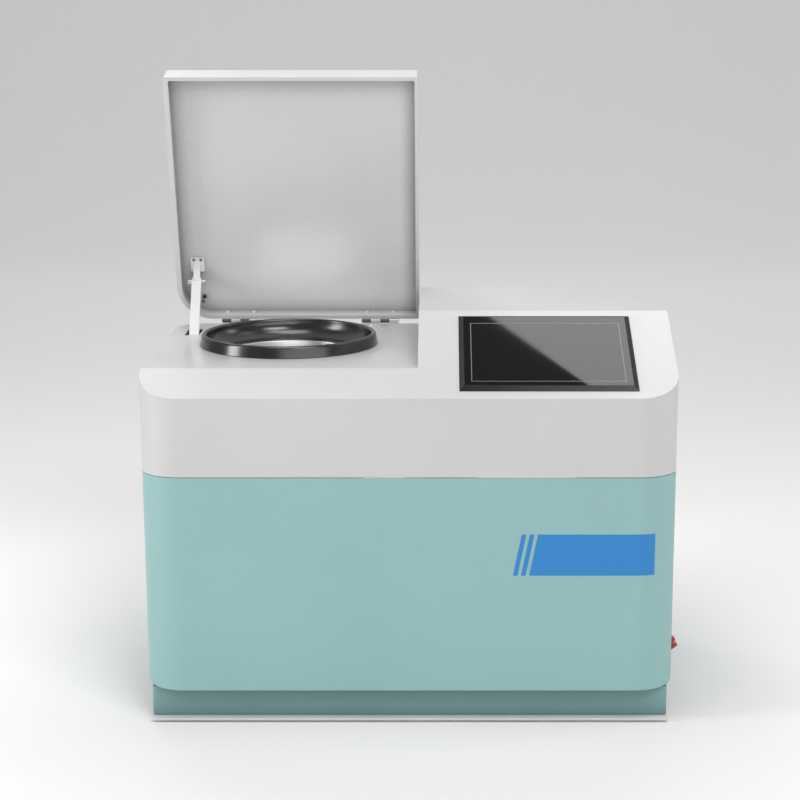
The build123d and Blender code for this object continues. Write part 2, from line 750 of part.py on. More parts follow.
with BuildPart() as stay_bracket:
    with BuildSketch(LID_FRAME.offset(LINER_W)):
        with Locations((BRACKET_X, BRACKET_V)):
            RectangleRounded(BRACKET_W, BRACKET_L, BRACKET_CORNER_R)
    extrude(amount=-BRACKET_T)
    lug_v = STAY_EYE_R * cos(radians(LUG_FLARE))
    lug_w = STAY_EYE_R * sin(radians(LUG_FLARE))
    with BuildSketch(LID_SIDE.offset(STAY_X - LUG_W / 2)):
        with BuildLine():
            Polyline(
                (BRACKET_V - LUG_FOOT_FRONT, LINER_W - BRACKET_T),
                (BRACKET_V + LUG_FOOT_REAR, LINER_W - BRACKET_T),
                (STAY_PIN_V + lug_v, STAY_PIN_W + lug_w),
                (STAY_PIN_V - lug_v, STAY_PIN_W - lug_w),
                close=True,
            )
        make_face()
        with Locations((STAY_PIN_V, STAY_PIN_W)):
            Circle(STAY_EYE_R)
            Circle(STAY_PIN_R, mode=Mode.SUBTRACT)
    extrude(amount=LUG_W)
    with BuildSketch(LID_FRAME.offset(LINER_W + 1)):
        with Locations(*BRACKET_SCREWS):
            Circle(BRACKET_SCREW_R)
    extrude(amount=-BRACKET_T - 1, mode=Mode.SUBTRACT)
save(stay_bracket, "stay_bracket")

with BuildPart() as bracket_screws:
    with BuildSketch(LID_FRAME.offset(LINER_W - BRACKET_T)):
        with Locations(*BRACKET_SCREWS):
            Circle(BRACKET_HEAD_R)
    extrude(amount=-BRACKET_HEAD_H)
    with BuildSketch(LID_FRAME.offset(LINER_W)):
        with Locations(*BRACKET_SCREWS):
            Circle(BRACKET_SCREW_R)
    extrude(amount=-BRACKET_T)
    with BuildSketch(LID_FRAME.offset(LINER_W)):
        with Locations(MAGNET_SCREW):
            Circle(BRACKET_HEAD_R)
    extrude(amount=-BRACKET_HEAD_H)
save(bracket_screws, "bracket_screws")

with BuildPart() as stay_pin:
    with BuildSketch(LID_SIDE.offset(STAY_X - STAY_PIN_L / 2)):
        with Locations((STAY_PIN_V, STAY_PIN_W)):
            Circle(STAY_PIN_R)
    extrude(amount=STAY_PIN_L)
    for side in (-1, 1):
        with BuildSketch(LID_SIDE.offset(STAY_X + side * (STAY_W / 2 + PIN_HEAD_GAP))):
            with Locations((STAY_PIN_V, STAY_PIN_W)):
                Circle(STAY_HEAD_R)
        extrude(amount=side * (STAY_PIN_L / 2 - STAY_W / 2 - PIN_HEAD_GAP))
save(stay_pin, "stay_pin")

with BuildPart() as lid_magnet:
    with BuildSketch(LID_FRAME.offset(LINER_W)):
        with Locations((MAGNET_X, MAGNET_V)):
            Rectangle(MAGNET_W, MAGNET_W)
    extrude(amount=-MAGNET_H)
save(lid_magnet, "lid_magnet")

with BuildPart() as stay_arm:
    with BuildSketch(STAY_FACE.offset(-STAY_BACK)):
        with Locations((STAY_ARM_L / 2, 0)):
            SlotOverall(STAY_ARM_L + STAY_W, STAY_W)
    extrude(amount=STAY_FRONT + STAY_BACK)
    with BuildSketch(STAY_FACE.offset(STAY_FRONT - STAY_SHEET)):
        with Locations((STAY_ARM_L / 2, 0)):
            Rectangle(STAY_ARM_L + 2 * STAY_W, STAY_W - 2 * STAY_SHEET)
    extrude(amount=-STAY_FRONT - STAY_BACK, mode=Mode.SUBTRACT)
    with BuildSketch(STAY_FACE.offset(STAY_FRONT + 1)):
        with Locations((STAY_WEB_START / 2 - STAY_W / 2, 0)):
            Rectangle(STAY_WEB_START + STAY_W, STAY_W - 2 * STAY_SHEET)
    extrude(amount=-2 * STAY_SHEET, mode=Mode.SUBTRACT)
    for along in (0, STAY_ARM_L):
        with BuildSketch(STAY_SIDE.offset(-STAY_W)):
            with Locations((along, 0)):
                Circle(STAY_PIN_R + RUNNING_GAP)
        extrude(amount=STAY_ARM_L, mode=Mode.SUBTRACT)
save(stay_arm, "stay_arm")

with BuildPart() as stay_roller:
    roller_right = STAY_X + STAY_SKEW * STAY_ARM_L + STAY_W / 2 + 1
    with BuildSketch(STAY_SIDE.offset(ROLLER_LEFT - STAY_X)):
        with Locations((STAY_ARM_L, 0)):
            Circle(ROLLER_R)
    extrude(amount=ROLLER_T)
    with BuildSketch(STAY_SIDE.offset(ROLLER_LEFT - STAY_X)):
        with Locations((STAY_ARM_L, 0)):
            Circle(STAY_PIN_R + RUNNING_GAP)
    extrude(amount=roller_right - ROLLER_LEFT)
save(stay_roller, "stay_roller")

with BuildPart() as stay_guide:
    track = [stay_roller_point(LID_OPEN * step / GUIDE_STEPS) for step in range(GUIDE_STEPS + 1)]
    track_front = min(y for y, z in track) - GUIDE_MARGIN
    track_rear = max(y for y, z in track) + GUIDE_MARGIN
    track_bottom = min(z for y, z in track) - GUIDE_MARGIN
    with BuildSketch(Plane.YZ.offset(GUIDE_LEFT)):
        with Locations(((track_front + track_rear) / 2, (track_bottom + DECK_UNDER) / 2)):
            Rectangle(track_rear - track_front, DECK_UNDER - track_bottom)
        with BuildLine() as slot_line:
            Spline(*track)
        trace(slot_line.line, 2 * (ROLLER_R + ROLLER_CLEAR), mode=Mode.SUBTRACT)
        with Locations(track[0], track[-1]):
            Circle(ROLLER_R + ROLLER_CLEAR, mode=Mode.SUBTRACT)
    extrude(amount=GUIDE_T)
    with BuildSketch(Plane.XY.offset(DECK_UNDER - GUIDE_T)):
        with Locations((GUIDE_LEFT - GUIDE_FLANGE / 2, (track_front + track_rear) / 2)):
            Rectangle(GUIDE_FLANGE, track_rear - track_front - GUIDE_MARGIN)
    extrude(amount=GUIDE_T)
save(stay_guide, "stay_guide")

# Reed sensor under the deck, below the magnet's place when the lid is closed
SENSOR_W = 10.0
SENSOR_L = 16.0
SENSOR_H = 12.0
SENSOR_EDGE_R = 1.5

with BuildPart() as lid_sensor:
    with BuildSketch(Plane.XY.offset(DECK_UNDER)):
        with Locations((MAGNET_X, HINGE_Y + MAGNET_V + SENSOR_L / 4)):
            RectangleRounded(SENSOR_W, SENSOR_L, SENSOR_EDGE_R)
    extrude(amount=-SENSOR_H)
save(lid_sensor, "lid_sensor")

# Touch panel on the slope: bevelled frame, glass, housing behind it, board at its back
BEZEL_H = 4.2
BEZEL_BEVEL = 5.7
BEZEL_LIP = 0.3
BEZEL_RIM = 0.6
GLASS_T = 3.0
GLASS_DROP = 0.4
HOUSING_DEPTH = 24.0
HOUSING_WALL = 2.0
BOARD_T = 1.6
CHIP_H = 3.0
CHIP_L = 18.0
CHIP_W = 14.0
CHIP_COLUMNS = 4
CHIP_ROWS = 3
CHIP_STEP_X = 40.0
CHIP_STEP_Y = 34.0
GLASS_W = TOUCH_W - 2 * BEZEL_BEVEL
GLASS_H = TOUCH_H - 2 * BEZEL_BEVEL
TOUCH = Plane(
    origin=SLOPE_FRAME.from_local_coords((0, TOUCH_MID, 0)),
    x_dir=(1, 0, 0),
    z_dir=SLOPE_FRAME.z_dir,
)

with BuildPart() as touch_bezel:
    with BuildSketch(TOUCH):
        Rectangle(TOUCH_W, TOUCH_H)
    extrude(amount=BEZEL_H)
    outward = Axis(TOUCH.origin, TOUCH.z_dir)
    chamfer(
        touch_bezel.faces().sort_by(outward)[-1].edges(),
        BEZEL_BEVEL - BEZEL_LIP,
        BEZEL_H - BEZEL_RIM,
        reference=touch_bezel.faces().sort_by(outward)[-1],
    )
    with BuildSketch(TOUCH):
        Rectangle(GLASS_W, GLASS_H)
    extrude(amount=BEZEL_H, mode=Mode.SUBTRACT)
save(touch_bezel, "touch_bezel")

with BuildPart() as touch_glass:
    with BuildSketch(TOUCH.offset(BEZEL_H - GLASS_DROP)):
        Rectangle(GLASS_W, GLASS_H)
    extrude(amount=-GLASS_T)
save(touch_glass, "touch_glass")

with BuildPart() as touch_housing:
    with BuildSketch(TOUCH.offset(BEZEL_H - GLASS_DROP - GLASS_T)):
        Rectangle(TOUCH_CUT_W, TOUCH_CUT_H)
    extrude(amount=-HOUSING_DEPTH)
    with BuildSketch(TOUCH.offset(BEZEL_H - GLASS_DROP - GLASS_T - HOUSING_WALL)):
        Rectangle(TOUCH_CUT_W - 2 * HOUSING_WALL, TOUCH_CUT_H - 2 * HOUSING_WALL)
    extrude(amount=-HOUSING_DEPTH, mode=Mode.SUBTRACT)
save(touch_housing, "touch_housing")

with BuildPart() as control_board:
    board_top = BEZEL_H - GLASS_DROP - GLASS_T - HOUSING_DEPTH
    with BuildSketch(TOUCH.offset(board_top)):
        Rectangle(TOUCH_CUT_W, TOUCH_CUT_H)
    extrude(amount=-BOARD_T)
    with BuildSketch(TOUCH.offset(board_top - BOARD_T)):
        with GridLocations(CHIP_STEP_X, CHIP_STEP_Y, CHIP_COLUMNS, CHIP_ROWS):
            Rectangle(CHIP_L, CHIP_W)
    extrude(amount=-CHIP_H)
save(control_board, "control_board")

# Grinding chamber: glossy collar on the deck, steel bowl, cooling sleeve, foam
RING_TUBE_R = 2.8
RING_CREST_Z = RING_H - RING_TUBE_R
RING_THROAT = 10.5
RING_LEAN = 12.0
FLANGE_R = 98.0
SEAL_HOLE_R = 14.0
SEAL_LIP_R = 20.0
BOWL_TOP = DECK_TOP - RING_THROAT

with BuildPart() as chamber_ring:
    with BuildSketch(Plane.XZ):
        lean = radians(RING_LEAN)
        outer_tangent = (
            RING_CREST_R + RING_TUBE_R * cos(lean),
            DECK_TOP + RING_CREST_Z + RING_TUBE_R * sin(lean),
        )
        crest = (RING_CREST_R, DECK_TOP + RING_H)
        inner_tangent = (RING_CREST_R - RING_TUBE_R, DECK_TOP + RING_CREST_Z)
        with BuildLine():
            Line((RING_R, DECK_TOP), outer_tangent)
            ThreePointArc(outer_tangent, crest, inner_tangent)
            TangentArc(inner_tangent, (RING_LOW_R, RING_LOW_Z), tangent=(0, -1))
            Polyline(
                (RING_LOW_R, RING_LOW_Z),
                (RING_LOW_R, BOWL_TOP),
                (FLANGE_R, BOWL_TOP),
                (FLANGE_R, DECK_TOP),
                (RING_R, DECK_TOP),
            )
        make_face()
    revolve(axis=Axis.Z)
chamber_ring.part = chamber_ring.part.moved(CHAMBER)
save(chamber_ring, "chamber_ring")

with BuildPart() as chamber_bowl:
    with BuildSketch(Plane.XZ):
        with BuildLine():
            Polyline(
                (SEAL_HOLE_R, BOWL_FLOOR_Z),
                (BOWL_R, BOWL_FLOOR_Z),
                (BOWL_R, BOWL_TOP),
                (FLANGE_R, BOWL_TOP),
                (FLANGE_R, BOWL_TOP - BOWL_T),
                (BOWL_R + BOWL_T, BOWL_TOP - BOWL_T),
                (BOWL_R + BOWL_T, BOWL_FLOOR_Z - BOWL_T),
                (SEAL_HOLE_R, BOWL_FLOOR_Z - BOWL_T),
                close=True,
            )
        make_face()
    revolve(axis=Axis.Z)
    fillet(chamber_bowl.edges().group_by(Axis.Z)[0].sort_by(Edge.radius)[-1], BOWL_CORNER + BOWL_T)
    floor_edges = [
        edge
        for edge in chamber_bowl.edges().filter_by(GeomType.CIRCLE)
        if abs(edge.radius - BOWL_R) < 0.01 and abs(edge.center().Z - BOWL_FLOOR_Z) < 0.01
    ]
    fillet(floor_edges, BOWL_CORNER)
chamber_bowl.part = chamber_bowl.part.moved(CHAMBER)
save(chamber_bowl, "chamber_bowl")

with BuildPart() as evaporator_jacket:
    with BuildSketch(Plane.XZ):
        with Locations(((BOWL_R + BOWL_T + JACKET_R) / 2, (JACKET_BOTTOM + JACKET_TOP) / 2)):
            Rectangle(JACKET_R - BOWL_R - BOWL_T, JACKET_TOP - JACKET_BOTTOM)
    revolve(axis=Axis.Z)
evaporator_jacket.part = evaporator_jacket.part.moved(CHAMBER)
save(evaporator_jacket, "evaporator_jacket")

with BuildPart() as chamber_insulation:
    with BuildSketch(Plane.XZ):
        with BuildLine():
            Polyline(
                (HOUSING_R, FOAM_BOTTOM),
                (FOAM_R, FOAM_BOTTOM),
                (FOAM_R, BOWL_TOP - BOWL_T),
                (BOWL_R + BOWL_T, BOWL_TOP - BOWL_T),
                (BOWL_R + BOWL_T, JACKET_TOP),
                (JACKET_R, JACKET_TOP),
                (JACKET_R, JACKET_BOTTOM),
                (BOWL_R + BOWL_T, JACKET_BOTTOM),
                (BOWL_R + BOWL_T, BOWL_FLOOR_Z - BOWL_T),
                (HOUSING_R, BOWL_FLOOR_Z - BOWL_T),
                close=True,
            )
        make_face()
    revolve(axis=Axis.Z)
chamber_insulation.part = chamber_insulation.part.moved(CHAMBER)
save(chamber_insulation, "chamber_insulation")

with BuildPart() as shaft_seal:
    with BuildSketch(Plane.XZ):
        with BuildLine():
            Polyline(
                (SHAFT_R + RUNNING_GAP, BOWL_FLOOR_Z - BOWL_T),
                (SEAL_HOLE_R, BOWL_FLOOR_Z - BOWL_T),
                (SEAL_HOLE_R, BOWL_FLOOR_Z),
                (SEAL_LIP_R, BOWL_FLOOR_Z),
                (SEAL_HOLE_R, BOWL_FLOOR_Z + SEAL_H),
                (SHAFT_R + RUNNING_GAP, BOWL_FLOOR_Z + SEAL_H),
                close=True,
            )
        make_face()
    revolve(axis=Axis.Z)
shaft_seal.part = shaft_seal.part.moved(CHAMBER)
save(shaft_seal, "shaft_seal")

# Drive frame: a plate on four pillars, the bearing housing above it
FRAME_LEFT = -235.0
FRAME_RIGHT = 105.0
FRAME_DEPTH = 148.0
FRAME_CORNER_R = 12.0
FRAME_BORE_GAP = 2.0
PILLAR_R = 7.0
PILLAR_INSET = 10.0
HOUSING_FLANGE_R = 45.0
HOUSING_FLANGE_T = 6.0
HOUSING_BOLTS = 6
HOUSING_BOLT_R = 36.0
BOLT_HEAD_R = 5.0
BOLT_HEAD_H = 5.0
BOLT_SIDES = 6
MOTOR_R = 45.0
MOTOR_TOP = 292.0
MOTOR_PILOT_R = 25.0
MOTOR_SHAFT_R = 8.0

with BuildPart() as mechanism_frame:
    frame_x = (FRAME_LEFT + FRAME_RIGHT) / 2
    frame_w = FRAME_RIGHT - FRAME_LEFT
    with BuildSketch(Plane.XY.offset(FRAME_Z)):
        with Locations((frame_x, CHAMBER_Y)):
            RectangleRounded(frame_w, FRAME_DEPTH, FRAME_CORNER_R)
        with Locations((CHAMBER_X, CHAMBER_Y)):
            Circle(HOUSING_BORE_R + FRAME_BORE_GAP, mode=Mode.SUBTRACT)
        with Locations((MOTOR_X, MOTOR_Y)):
            Circle(MOTOR_PILOT_R, mode=Mode.SUBTRACT)
    extrude(amount=FRAME_T)
    with BuildSketch(Plane.XY.offset(FLOOR_TOP)):
        with Locations((frame_x, CHAMBER_Y)):
            with GridLocations(frame_w - 2 * PILLAR_INSET, FRAME_DEPTH - 2 * PILLAR_INSET, 2, 2):
                Circle(PILLAR_R)
    extrude(amount=FRAME_Z - FLOOR_TOP)
save(mechanism_frame, "mechanism_frame")

with BuildPart() as bearing_housing:
    with BuildSketch(Plane.XZ):
        with BuildLine():
            Polyline(
                (HOUSING_BORE_R, FRAME_TOP),
                (HOUSING_FLANGE_R, FRAME_TOP),
                (HOUSING_FLANGE_R, FRAME_TOP + HOUSING_FLANGE_T),
                (HOUSING_R, FRAME_TOP + HOUSING_FLANGE_T),
                (HOUSING_R, BOWL_FLOOR_Z - BOWL_T),
                (SEAL_HOLE_R, BOWL_FLOOR_Z - BOWL_T),
                (SEAL_HOLE_R, UPPER_BEARING_Z + BEARING_T),
                (HOUSING_BORE_R, UPPER_BEARING_Z + BEARING_T),
                (HOUSING_BORE_R, UPPER_BEARING_Z),
                (HOUSING_MID_R, UPPER_BEARING_Z),
                (HOUSING_MID_R, LOWER_BEARING_Z + BEARING_T),
                (HOUSING_BORE_R, LOWER_BEARING_Z + BEARING_T),
                close=True,
            )
        make_face()
    revolve(axis=Axis.Z)
bearing_housing.part = bearing_housing.part.moved(CHAMBER)
save(bearing_housing, "bearing_housing")

with BuildPart() as shaft_bearings:
    for bearing_z in (LOWER_BEARING_Z, UPPER_BEARING_Z):
        with BuildSketch(Plane.XY.offset(bearing_z)):
            with Locations((CHAMBER_X, CHAMBER_Y)):
                Circle(HOUSING_BORE_R)
                Circle(SHAFT_R + RUNNING_GAP, mode=Mode.SUBTRACT)
        extrude(amount=BEARING_T)
save(shaft_bearings, "shaft_bearings")

with BuildPart() as frame_bolts:
    with BuildSketch(Plane.XY.offset(FRAME_TOP + HOUSING_FLANGE_T)):
        with Locations((CHAMBER_X, CHAMBER_Y)):
            with PolarLocations(HOUSING_BOLT_R, HOUSING_BOLTS):
                RegularPolygon(BOLT_HEAD_R, BOLT_SIDES)
    extrude(amount=BOLT_HEAD_H)
save(frame_bolts, "frame_bolts")

# Drive shaft with its slanted journal, and the parts that ride on the journal
SHAFT_BOTTOM = BELT_BOTTOM - 4.0
SHAFT_TOP = 298.0
SHAFT_EDGE = 0.8
JOURNAL_LOW = -21.0
JOURNAL_HIGH = 12.0
WOBBLE_BEARING_LOW = -16.0
WOBBLE_BEARING_HIGH = 8.0
HUB_R = 20.0
HUB_LOW = -17.0
HUB_CAP = 13.0
HUB_HIGH = 16.0
PLATE_T = 4.0
PLATE_RIM = 4.0
PLATE_RIM_H = 3.0
SPINDLE_HIGH = 68.0
CLAMP_LOW = 52.0
CLAMP_T = 3.5
CLAMP_HOLES = 12
CLAMP_HOLE_R = 6.0
CLAMP_HOLE_RING = 46.0
KNOB_LOW = CLAMP_LOW + CLAMP_T + 0.3
KNOB_R = 13.0
KNOB_SKIRT_H = 4.0
KNOB_H = 12.0
KNOB_WING_L = 54.0
KNOB_WING_W = 11.0
KNOB_GAP = 0.05

with BuildPart() as drive_shaft:
    with BuildSketch(Plane.XY.offset(SHAFT_BOTTOM)):
        with Locations((CHAMBER_X, CHAMBER_Y)):
            Circle(SHAFT_R)
    extrude(amount=SHAFT_TOP - SHAFT_BOTTOM)
    chamfer(drive_shaft.edges().group_by(Axis.Z)[0], SHAFT_EDGE)
    with BuildSketch(WOBBLE_FRAME.offset(JOURNAL_LOW)):
        Circle(JOURNAL_R)
    extrude(amount=JOURNAL_HIGH - JOURNAL_LOW)
save(drive_shaft, "drive_shaft")

with BuildPart() as wobble_bearing:
    with BuildSketch(WOBBLE_FRAME.offset(WOBBLE_BEARING_LOW)):
        Circle(WOBBLE_BEARING_R)
        Circle(JOURNAL_R + RUNNING_GAP, mode=Mode.SUBTRACT)
    extrude(amount=WOBBLE_BEARING_HIGH - WOBBLE_BEARING_LOW)
save(wobble_bearing, "wobble_bearing")

with BuildPart() as wobble_hub:
    with BuildSketch(WOBBLE_FRAME.offset(HUB_LOW)):
        Circle(HUB_R)
    extrude(amount=HUB_HIGH - HUB_LOW)
    with BuildSketch(WOBBLE_FRAME.offset(HUB_LOW)):
        Circle(WOBBLE_BEARING_R)
    extrude(amount=WOBBLE_BEARING_HIGH - HUB_LOW, mode=Mode.SUBTRACT)
    with BuildSketch(WOBBLE_FRAME.offset(HUB_LOW)):
        Circle(JOURNAL_R + 1)
    extrude(amount=HUB_CAP - HUB_LOW, mode=Mode.SUBTRACT)
    with BuildSketch(WOBBLE_FRAME.offset(HUB_HIGH)):
        Circle(SPINDLE_R)
    extrude(amount=SPINDLE_HIGH - HUB_HIGH)
save(wobble_hub, "wobble_hub")

with BuildPart() as carrier_plate:
    with BuildSketch(WOBBLE_FRAME.offset(HUB_HIGH)):
        Circle(TRAY_R)
        Circle(SPINDLE_R, mode=Mode.SUBTRACT)
    extrude(amount=PLATE_T)
    with BuildSketch(WOBBLE_FRAME.offset(HUB_HIGH + PLATE_T)):
        Circle(TRAY_R)
        Circle(TRAY_R - PLATE_RIM, mode=Mode.SUBTRACT)
    extrude(amount=PLATE_RIM_H)
save(carrier_plate, "carrier_plate")

with BuildPart() as clamp_plate:
    with BuildSketch(WOBBLE_FRAME.offset(CLAMP_LOW)):
        Circle(TRAY_R)
        Circle(SPINDLE_R, mode=Mode.SUBTRACT)
        with PolarLocations(CLAMP_HOLE_RING, CLAMP_HOLES):
            Circle(CLAMP_HOLE_R, mode=Mode.SUBTRACT)
    extrude(amount=CLAMP_T)
save(clamp_plate, "clamp_plate")

with BuildPart() as clamp_knob:
    with BuildSketch(WOBBLE_FRAME.offset(KNOB_LOW)):
        Circle(KNOB_R)
    extrude(amount=KNOB_H)
    with BuildSketch(WOBBLE_FRAME.offset(KNOB_LOW + KNOB_SKIRT_H)):
        SlotOverall(KNOB_WING_L, KNOB_WING_W)
    extrude(amount=KNOB_H - KNOB_SKIRT_H)
    with BuildSketch(WOBBLE_FRAME.offset(KNOB_LOW)):
        Circle(SPINDLE_R + KNOB_GAP)
    extrude(amount=KNOB_H, mode=Mode.SUBTRACT)
save(clamp_knob, "clamp_knob")

# Belt drive: toothed pulleys with flanges, and the belt laid round them
PULLEY_FLANGE = 3.0
PULLEY_FLANGE_T = 2.0
PULLEY_EDGE = 0.5
TOOTH_R = 0.9
BELT_CLEAR = 0.3


def toothed_pulley(center, radius, teeth, bore):
    """Pulley with round grooves for the teeth and a flange at each edge of the belt."""
    face_low = BELT_BOTTOM - PULLEY_EDGE
    face_high = BELT_BOTTOM + BELT_WIDTH + PULLEY_EDGE
    with BuildPart() as pulley:
        with BuildSketch(Plane.XY.offset(face_low)):
            with Locations(center):
                Circle(radius)
                with PolarLocations(radius, teeth):
                    Circle(TOOTH_R, mode=Mode.SUBTRACT)
        extrude(amount=face_high - face_low)
        for flange_z in (face_low - PULLEY_FLANGE_T, face_high):
            with BuildSketch(Plane.XY.offset(flange_z)):
                with Locations(center):
                    Circle(radius + PULLEY_FLANGE)
            extrude(amount=PULLEY_FLANGE_T)
        with BuildSketch(Plane.XY.offset(face_low - PULLEY_FLANGE_T)):
            with Locations(center):
                Circle(bore)
        extrude(amount=face_high - face_low + 2 * PULLEY_FLANGE_T, mode=Mode.SUBTRACT)
    return pulley.part


with BuildPart() as shaft_pulley:
    add(toothed_pulley((CHAMBER_X, CHAMBER_Y), SHAFT_PULLEY_R, SHAFT_TEETH, SHAFT_R))
save(shaft_pulley, "shaft_pulley")

with BuildPart() as motor_pulley:
    add(toothed_pulley((MOTOR_X, MOTOR_Y), MOTOR_PULLEY_R, MOTOR_TEETH, MOTOR_SHAFT_R))
save(motor_pulley, "motor_pulley")


def belt_outline(grow):
    """Closed line round both pulleys, at grow outside their tips."""
    small = SHAFT_PULLEY_R + grow
    large = MOTOR_PULLEY_R + grow
    along = (large - small) / (MOTOR_X - CHAMBER_X)
    across = cos(asin(along))
    shaft_top = (CHAMBER_X - small * along, CHAMBER_Y + small * across)
    shaft_low = (CHAMBER_X - small * along, CHAMBER_Y - small * across)
    motor_top = (MOTOR_X - large * along, MOTOR_Y + large * across)
    motor_low = (MOTOR_X - large * along, MOTOR_Y - large * across)
    with BuildSketch() as outline:
        with BuildLine():
            Line(shaft_top, motor_top)
            ThreePointArc(motor_top, (MOTOR_X + large, MOTOR_Y), motor_low)
            Line(motor_low, shaft_low)
            ThreePointArc(shaft_low, (CHAMBER_X - small, CHAMBER_Y), shaft_top)
        make_face()
    return outline.sketch


with BuildPart() as drive_belt:
    with BuildSketch(Plane.XY.offset(BELT_BOTTOM)):
        add(belt_outline(BELT_CLEAR + BELT_T))
        add(belt_outline(BELT_CLEAR), mode=Mode.SUBTRACT)
    extrude(amount=BELT_WIDTH)
save(drive_belt, "drive_belt")

# Drive motor
MOTOR_BORE_TOP = 232.0
MOTOR_SHAFT_TOP = 230.0
MOTOR_CAP_H = 14.0
MOTOR_FINS = 24
MOTOR_CORNER_R = 8.0
MOTOR_GROOVE_L = 5.0
MOTOR_GROOVE_W = 2.5
MOTOR_STEP = 3.0

with BuildPart() as motor_body:
    with BuildSketch(Plane.XY.offset(FRAME_TOP)):
        with Locations((MOTOR_X, MOTOR_Y)):
            RectangleRounded(2 * MOTOR_R, 2 * MOTOR_R, MOTOR_CORNER_R)
    extrude(amount=MOTOR_CAP_H)
    with BuildSketch(Plane.XY.offset(FRAME_TOP + MOTOR_CAP_H)):
        with Locations((MOTOR_X, MOTOR_Y)):
            Circle(MOTOR_R)
            with PolarLocations(MOTOR_R, MOTOR_FINS):
                Rectangle(MOTOR_GROOVE_L, MOTOR_GROOVE_W, mode=Mode.SUBTRACT)
    extrude(amount=MOTOR_TOP - MOTOR_CAP_H - FRAME_TOP)
    with BuildSketch(Plane.XY.offset(MOTOR_TOP)):
        with Locations((MOTOR_X, MOTOR_Y)):
            Circle(MOTOR_R - MOTOR_STEP)
    extrude(amount=MOTOR_CAP_H / 2)
    with BuildSketch(Plane.XY.offset(FRAME_TOP)):
        with Locations((MOTOR_X, MOTOR_Y)):
            Circle(MOTOR_SHAFT_R + RUNNING_GAP)
    extrude(amount=MOTOR_BORE_TOP - FRAME_TOP, mode=Mode.SUBTRACT)
save(motor_body, "motor_body")

with BuildPart() as motor_shaft:
    with BuildSketch(Plane.XY.offset(SHAFT_BOTTOM)):
        with Locations((MOTOR_X, MOTOR_Y)):
            Circle(MOTOR_SHAFT_R)
    extrude(amount=MOTOR_SHAFT_TOP - SHAFT_BOTTOM)
    chamfer(motor_shaft.edges().group_by(Axis.Z)[0], SHAFT_EDGE)
save(motor_shaft, "motor_shaft")

# Refrigeration set: compressor on rubber mounts, finned condenser, fan
MOUNT_R = 9.0
MOUNT_H = 12.0
MOUNT_RING = 70.0
MOUNT_COUNT = 3
MOUNT_START = 90.0
EAR_T = 3.0
EAR_R = 12.0
CAN_BOTTOM = FLOOR_TOP + MOUNT_H + EAR_T
CAN_TOP = 190.0
CAN_ROUND = 24.0

with BuildPart() as compressor_mounts:
    with BuildSketch(Plane.XY.offset(FLOOR_TOP)):
        with Locations((COMPRESSOR_X, COMPRESSOR_Y)):
            with PolarLocations(MOUNT_RING, MOUNT_COUNT, start_angle=MOUNT_START):
                Circle(MOUNT_R)
    extrude(amount=MOUNT_H)
save(compressor_mounts, "compressor_mounts")

with BuildPart() as compressor:
    with BuildSketch(Plane.XY.offset(FLOOR_TOP + MOUNT_H)):
        with Locations((COMPRESSOR_X, COMPRESSOR_Y)):
            Circle(COMPRESSOR_R - CAN_ROUND / 2)
            with PolarLocations(MOUNT_RING, MOUNT_COUNT, start_angle=MOUNT_START):
                Circle(EAR_R)
            with PolarLocations(MOUNT_RING / 2, MOUNT_COUNT, start_angle=MOUNT_START):
                Rectangle(MOUNT_RING, 2 * EAR_R)
    extrude(amount=EAR_T)
    with BuildSketch(Plane.XY.offset(CAN_BOTTOM)):
        with Locations((COMPRESSOR_X, COMPRESSOR_Y)):
            Circle(COMPRESSOR_R)
    extrude(amount=CAN_TOP - CAN_BOTTOM)
    fillet(compressor.edges().group_by(Axis.Z)[-1], CAN_ROUND)
save(compressor, "compressor")

CONDENSER_X = 267.0
CONDENSER_T = 34.0
CONDENSER_FRONT = 5.0
CONDENSER_REAR = 161.0
CONDENSER_BOTTOM = 62.0
CONDENSER_TOP = 222.0
FIN_COUNT = 26
FIN_T = 1.0
END_PLATE_T = 2.0
TUBE_ROWS = 6
TUBE_R = 4.0

with BuildPart() as condenser:
    span = CONDENSER_REAR - CONDENSER_FRONT
    middle_z = (CONDENSER_BOTTOM + CONDENSER_TOP) / 2
    for index in range(FIN_COUNT + 1):
        outer = index in (0, FIN_COUNT)
        thick = END_PLATE_T if outer else FIN_T
        fin_y = CONDENSER_FRONT + END_PLATE_T / 2 + index * (span - END_PLATE_T) / FIN_COUNT
        with BuildSketch(Plane.XZ.offset(-fin_y - thick / 2)):
            with Locations((CONDENSER_X, middle_z)):
                Rectangle(CONDENSER_T, CONDENSER_TOP - CONDENSER_BOTTOM)
        extrude(amount=thick)
    with BuildSketch(Plane.XZ.offset(-CONDENSER_REAR)):
        with Locations((CONDENSER_X, middle_z)):
            with GridLocations(1, (CONDENSER_TOP - CONDENSER_BOTTOM) / TUBE_ROWS, 1, TUBE_ROWS):
                Circle(TUBE_R)
    extrude(amount=span)
    with BuildSketch(Plane.XY.offset(FLOOR_TOP)):
        with Locations((CONDENSER_X, (CONDENSER_FRONT + CONDENSER_REAR) / 2)):
            with GridLocations(1, span - END_PLATE_T, 1, 2):
                Rectangle(CONDENSER_T, END_PLATE_T)
    extrude(amount=CONDENSER_BOTTOM - FLOOR_TOP)
save(condenser, "condenser")

SHROUD_LEFT = 236.0
SHROUD_RIGHT = 250.0
SHROUD_W = 156.0
SHROUD_HOLE_R = 73.0
SPIDER_T = 4.0
SPIDER_ARM_W = 8.0
FAN_MOTOR_R = 16.0
FAN_MOTOR_T = 10.0
FAN_SHAFT_R = 3.0
FAN_HUB_R = 20.0
FAN_HUB_LEFT = 212.0
FAN_HUB_T = 22.0
FAN_BLADES = 7
BLADE_TIP_R = 70.0
BLADE_CHORD = 22.0
BLADE_T = 1.6
BLADE_PITCH = 32.0
BLADE_ROOT_DEPTH = 3.0

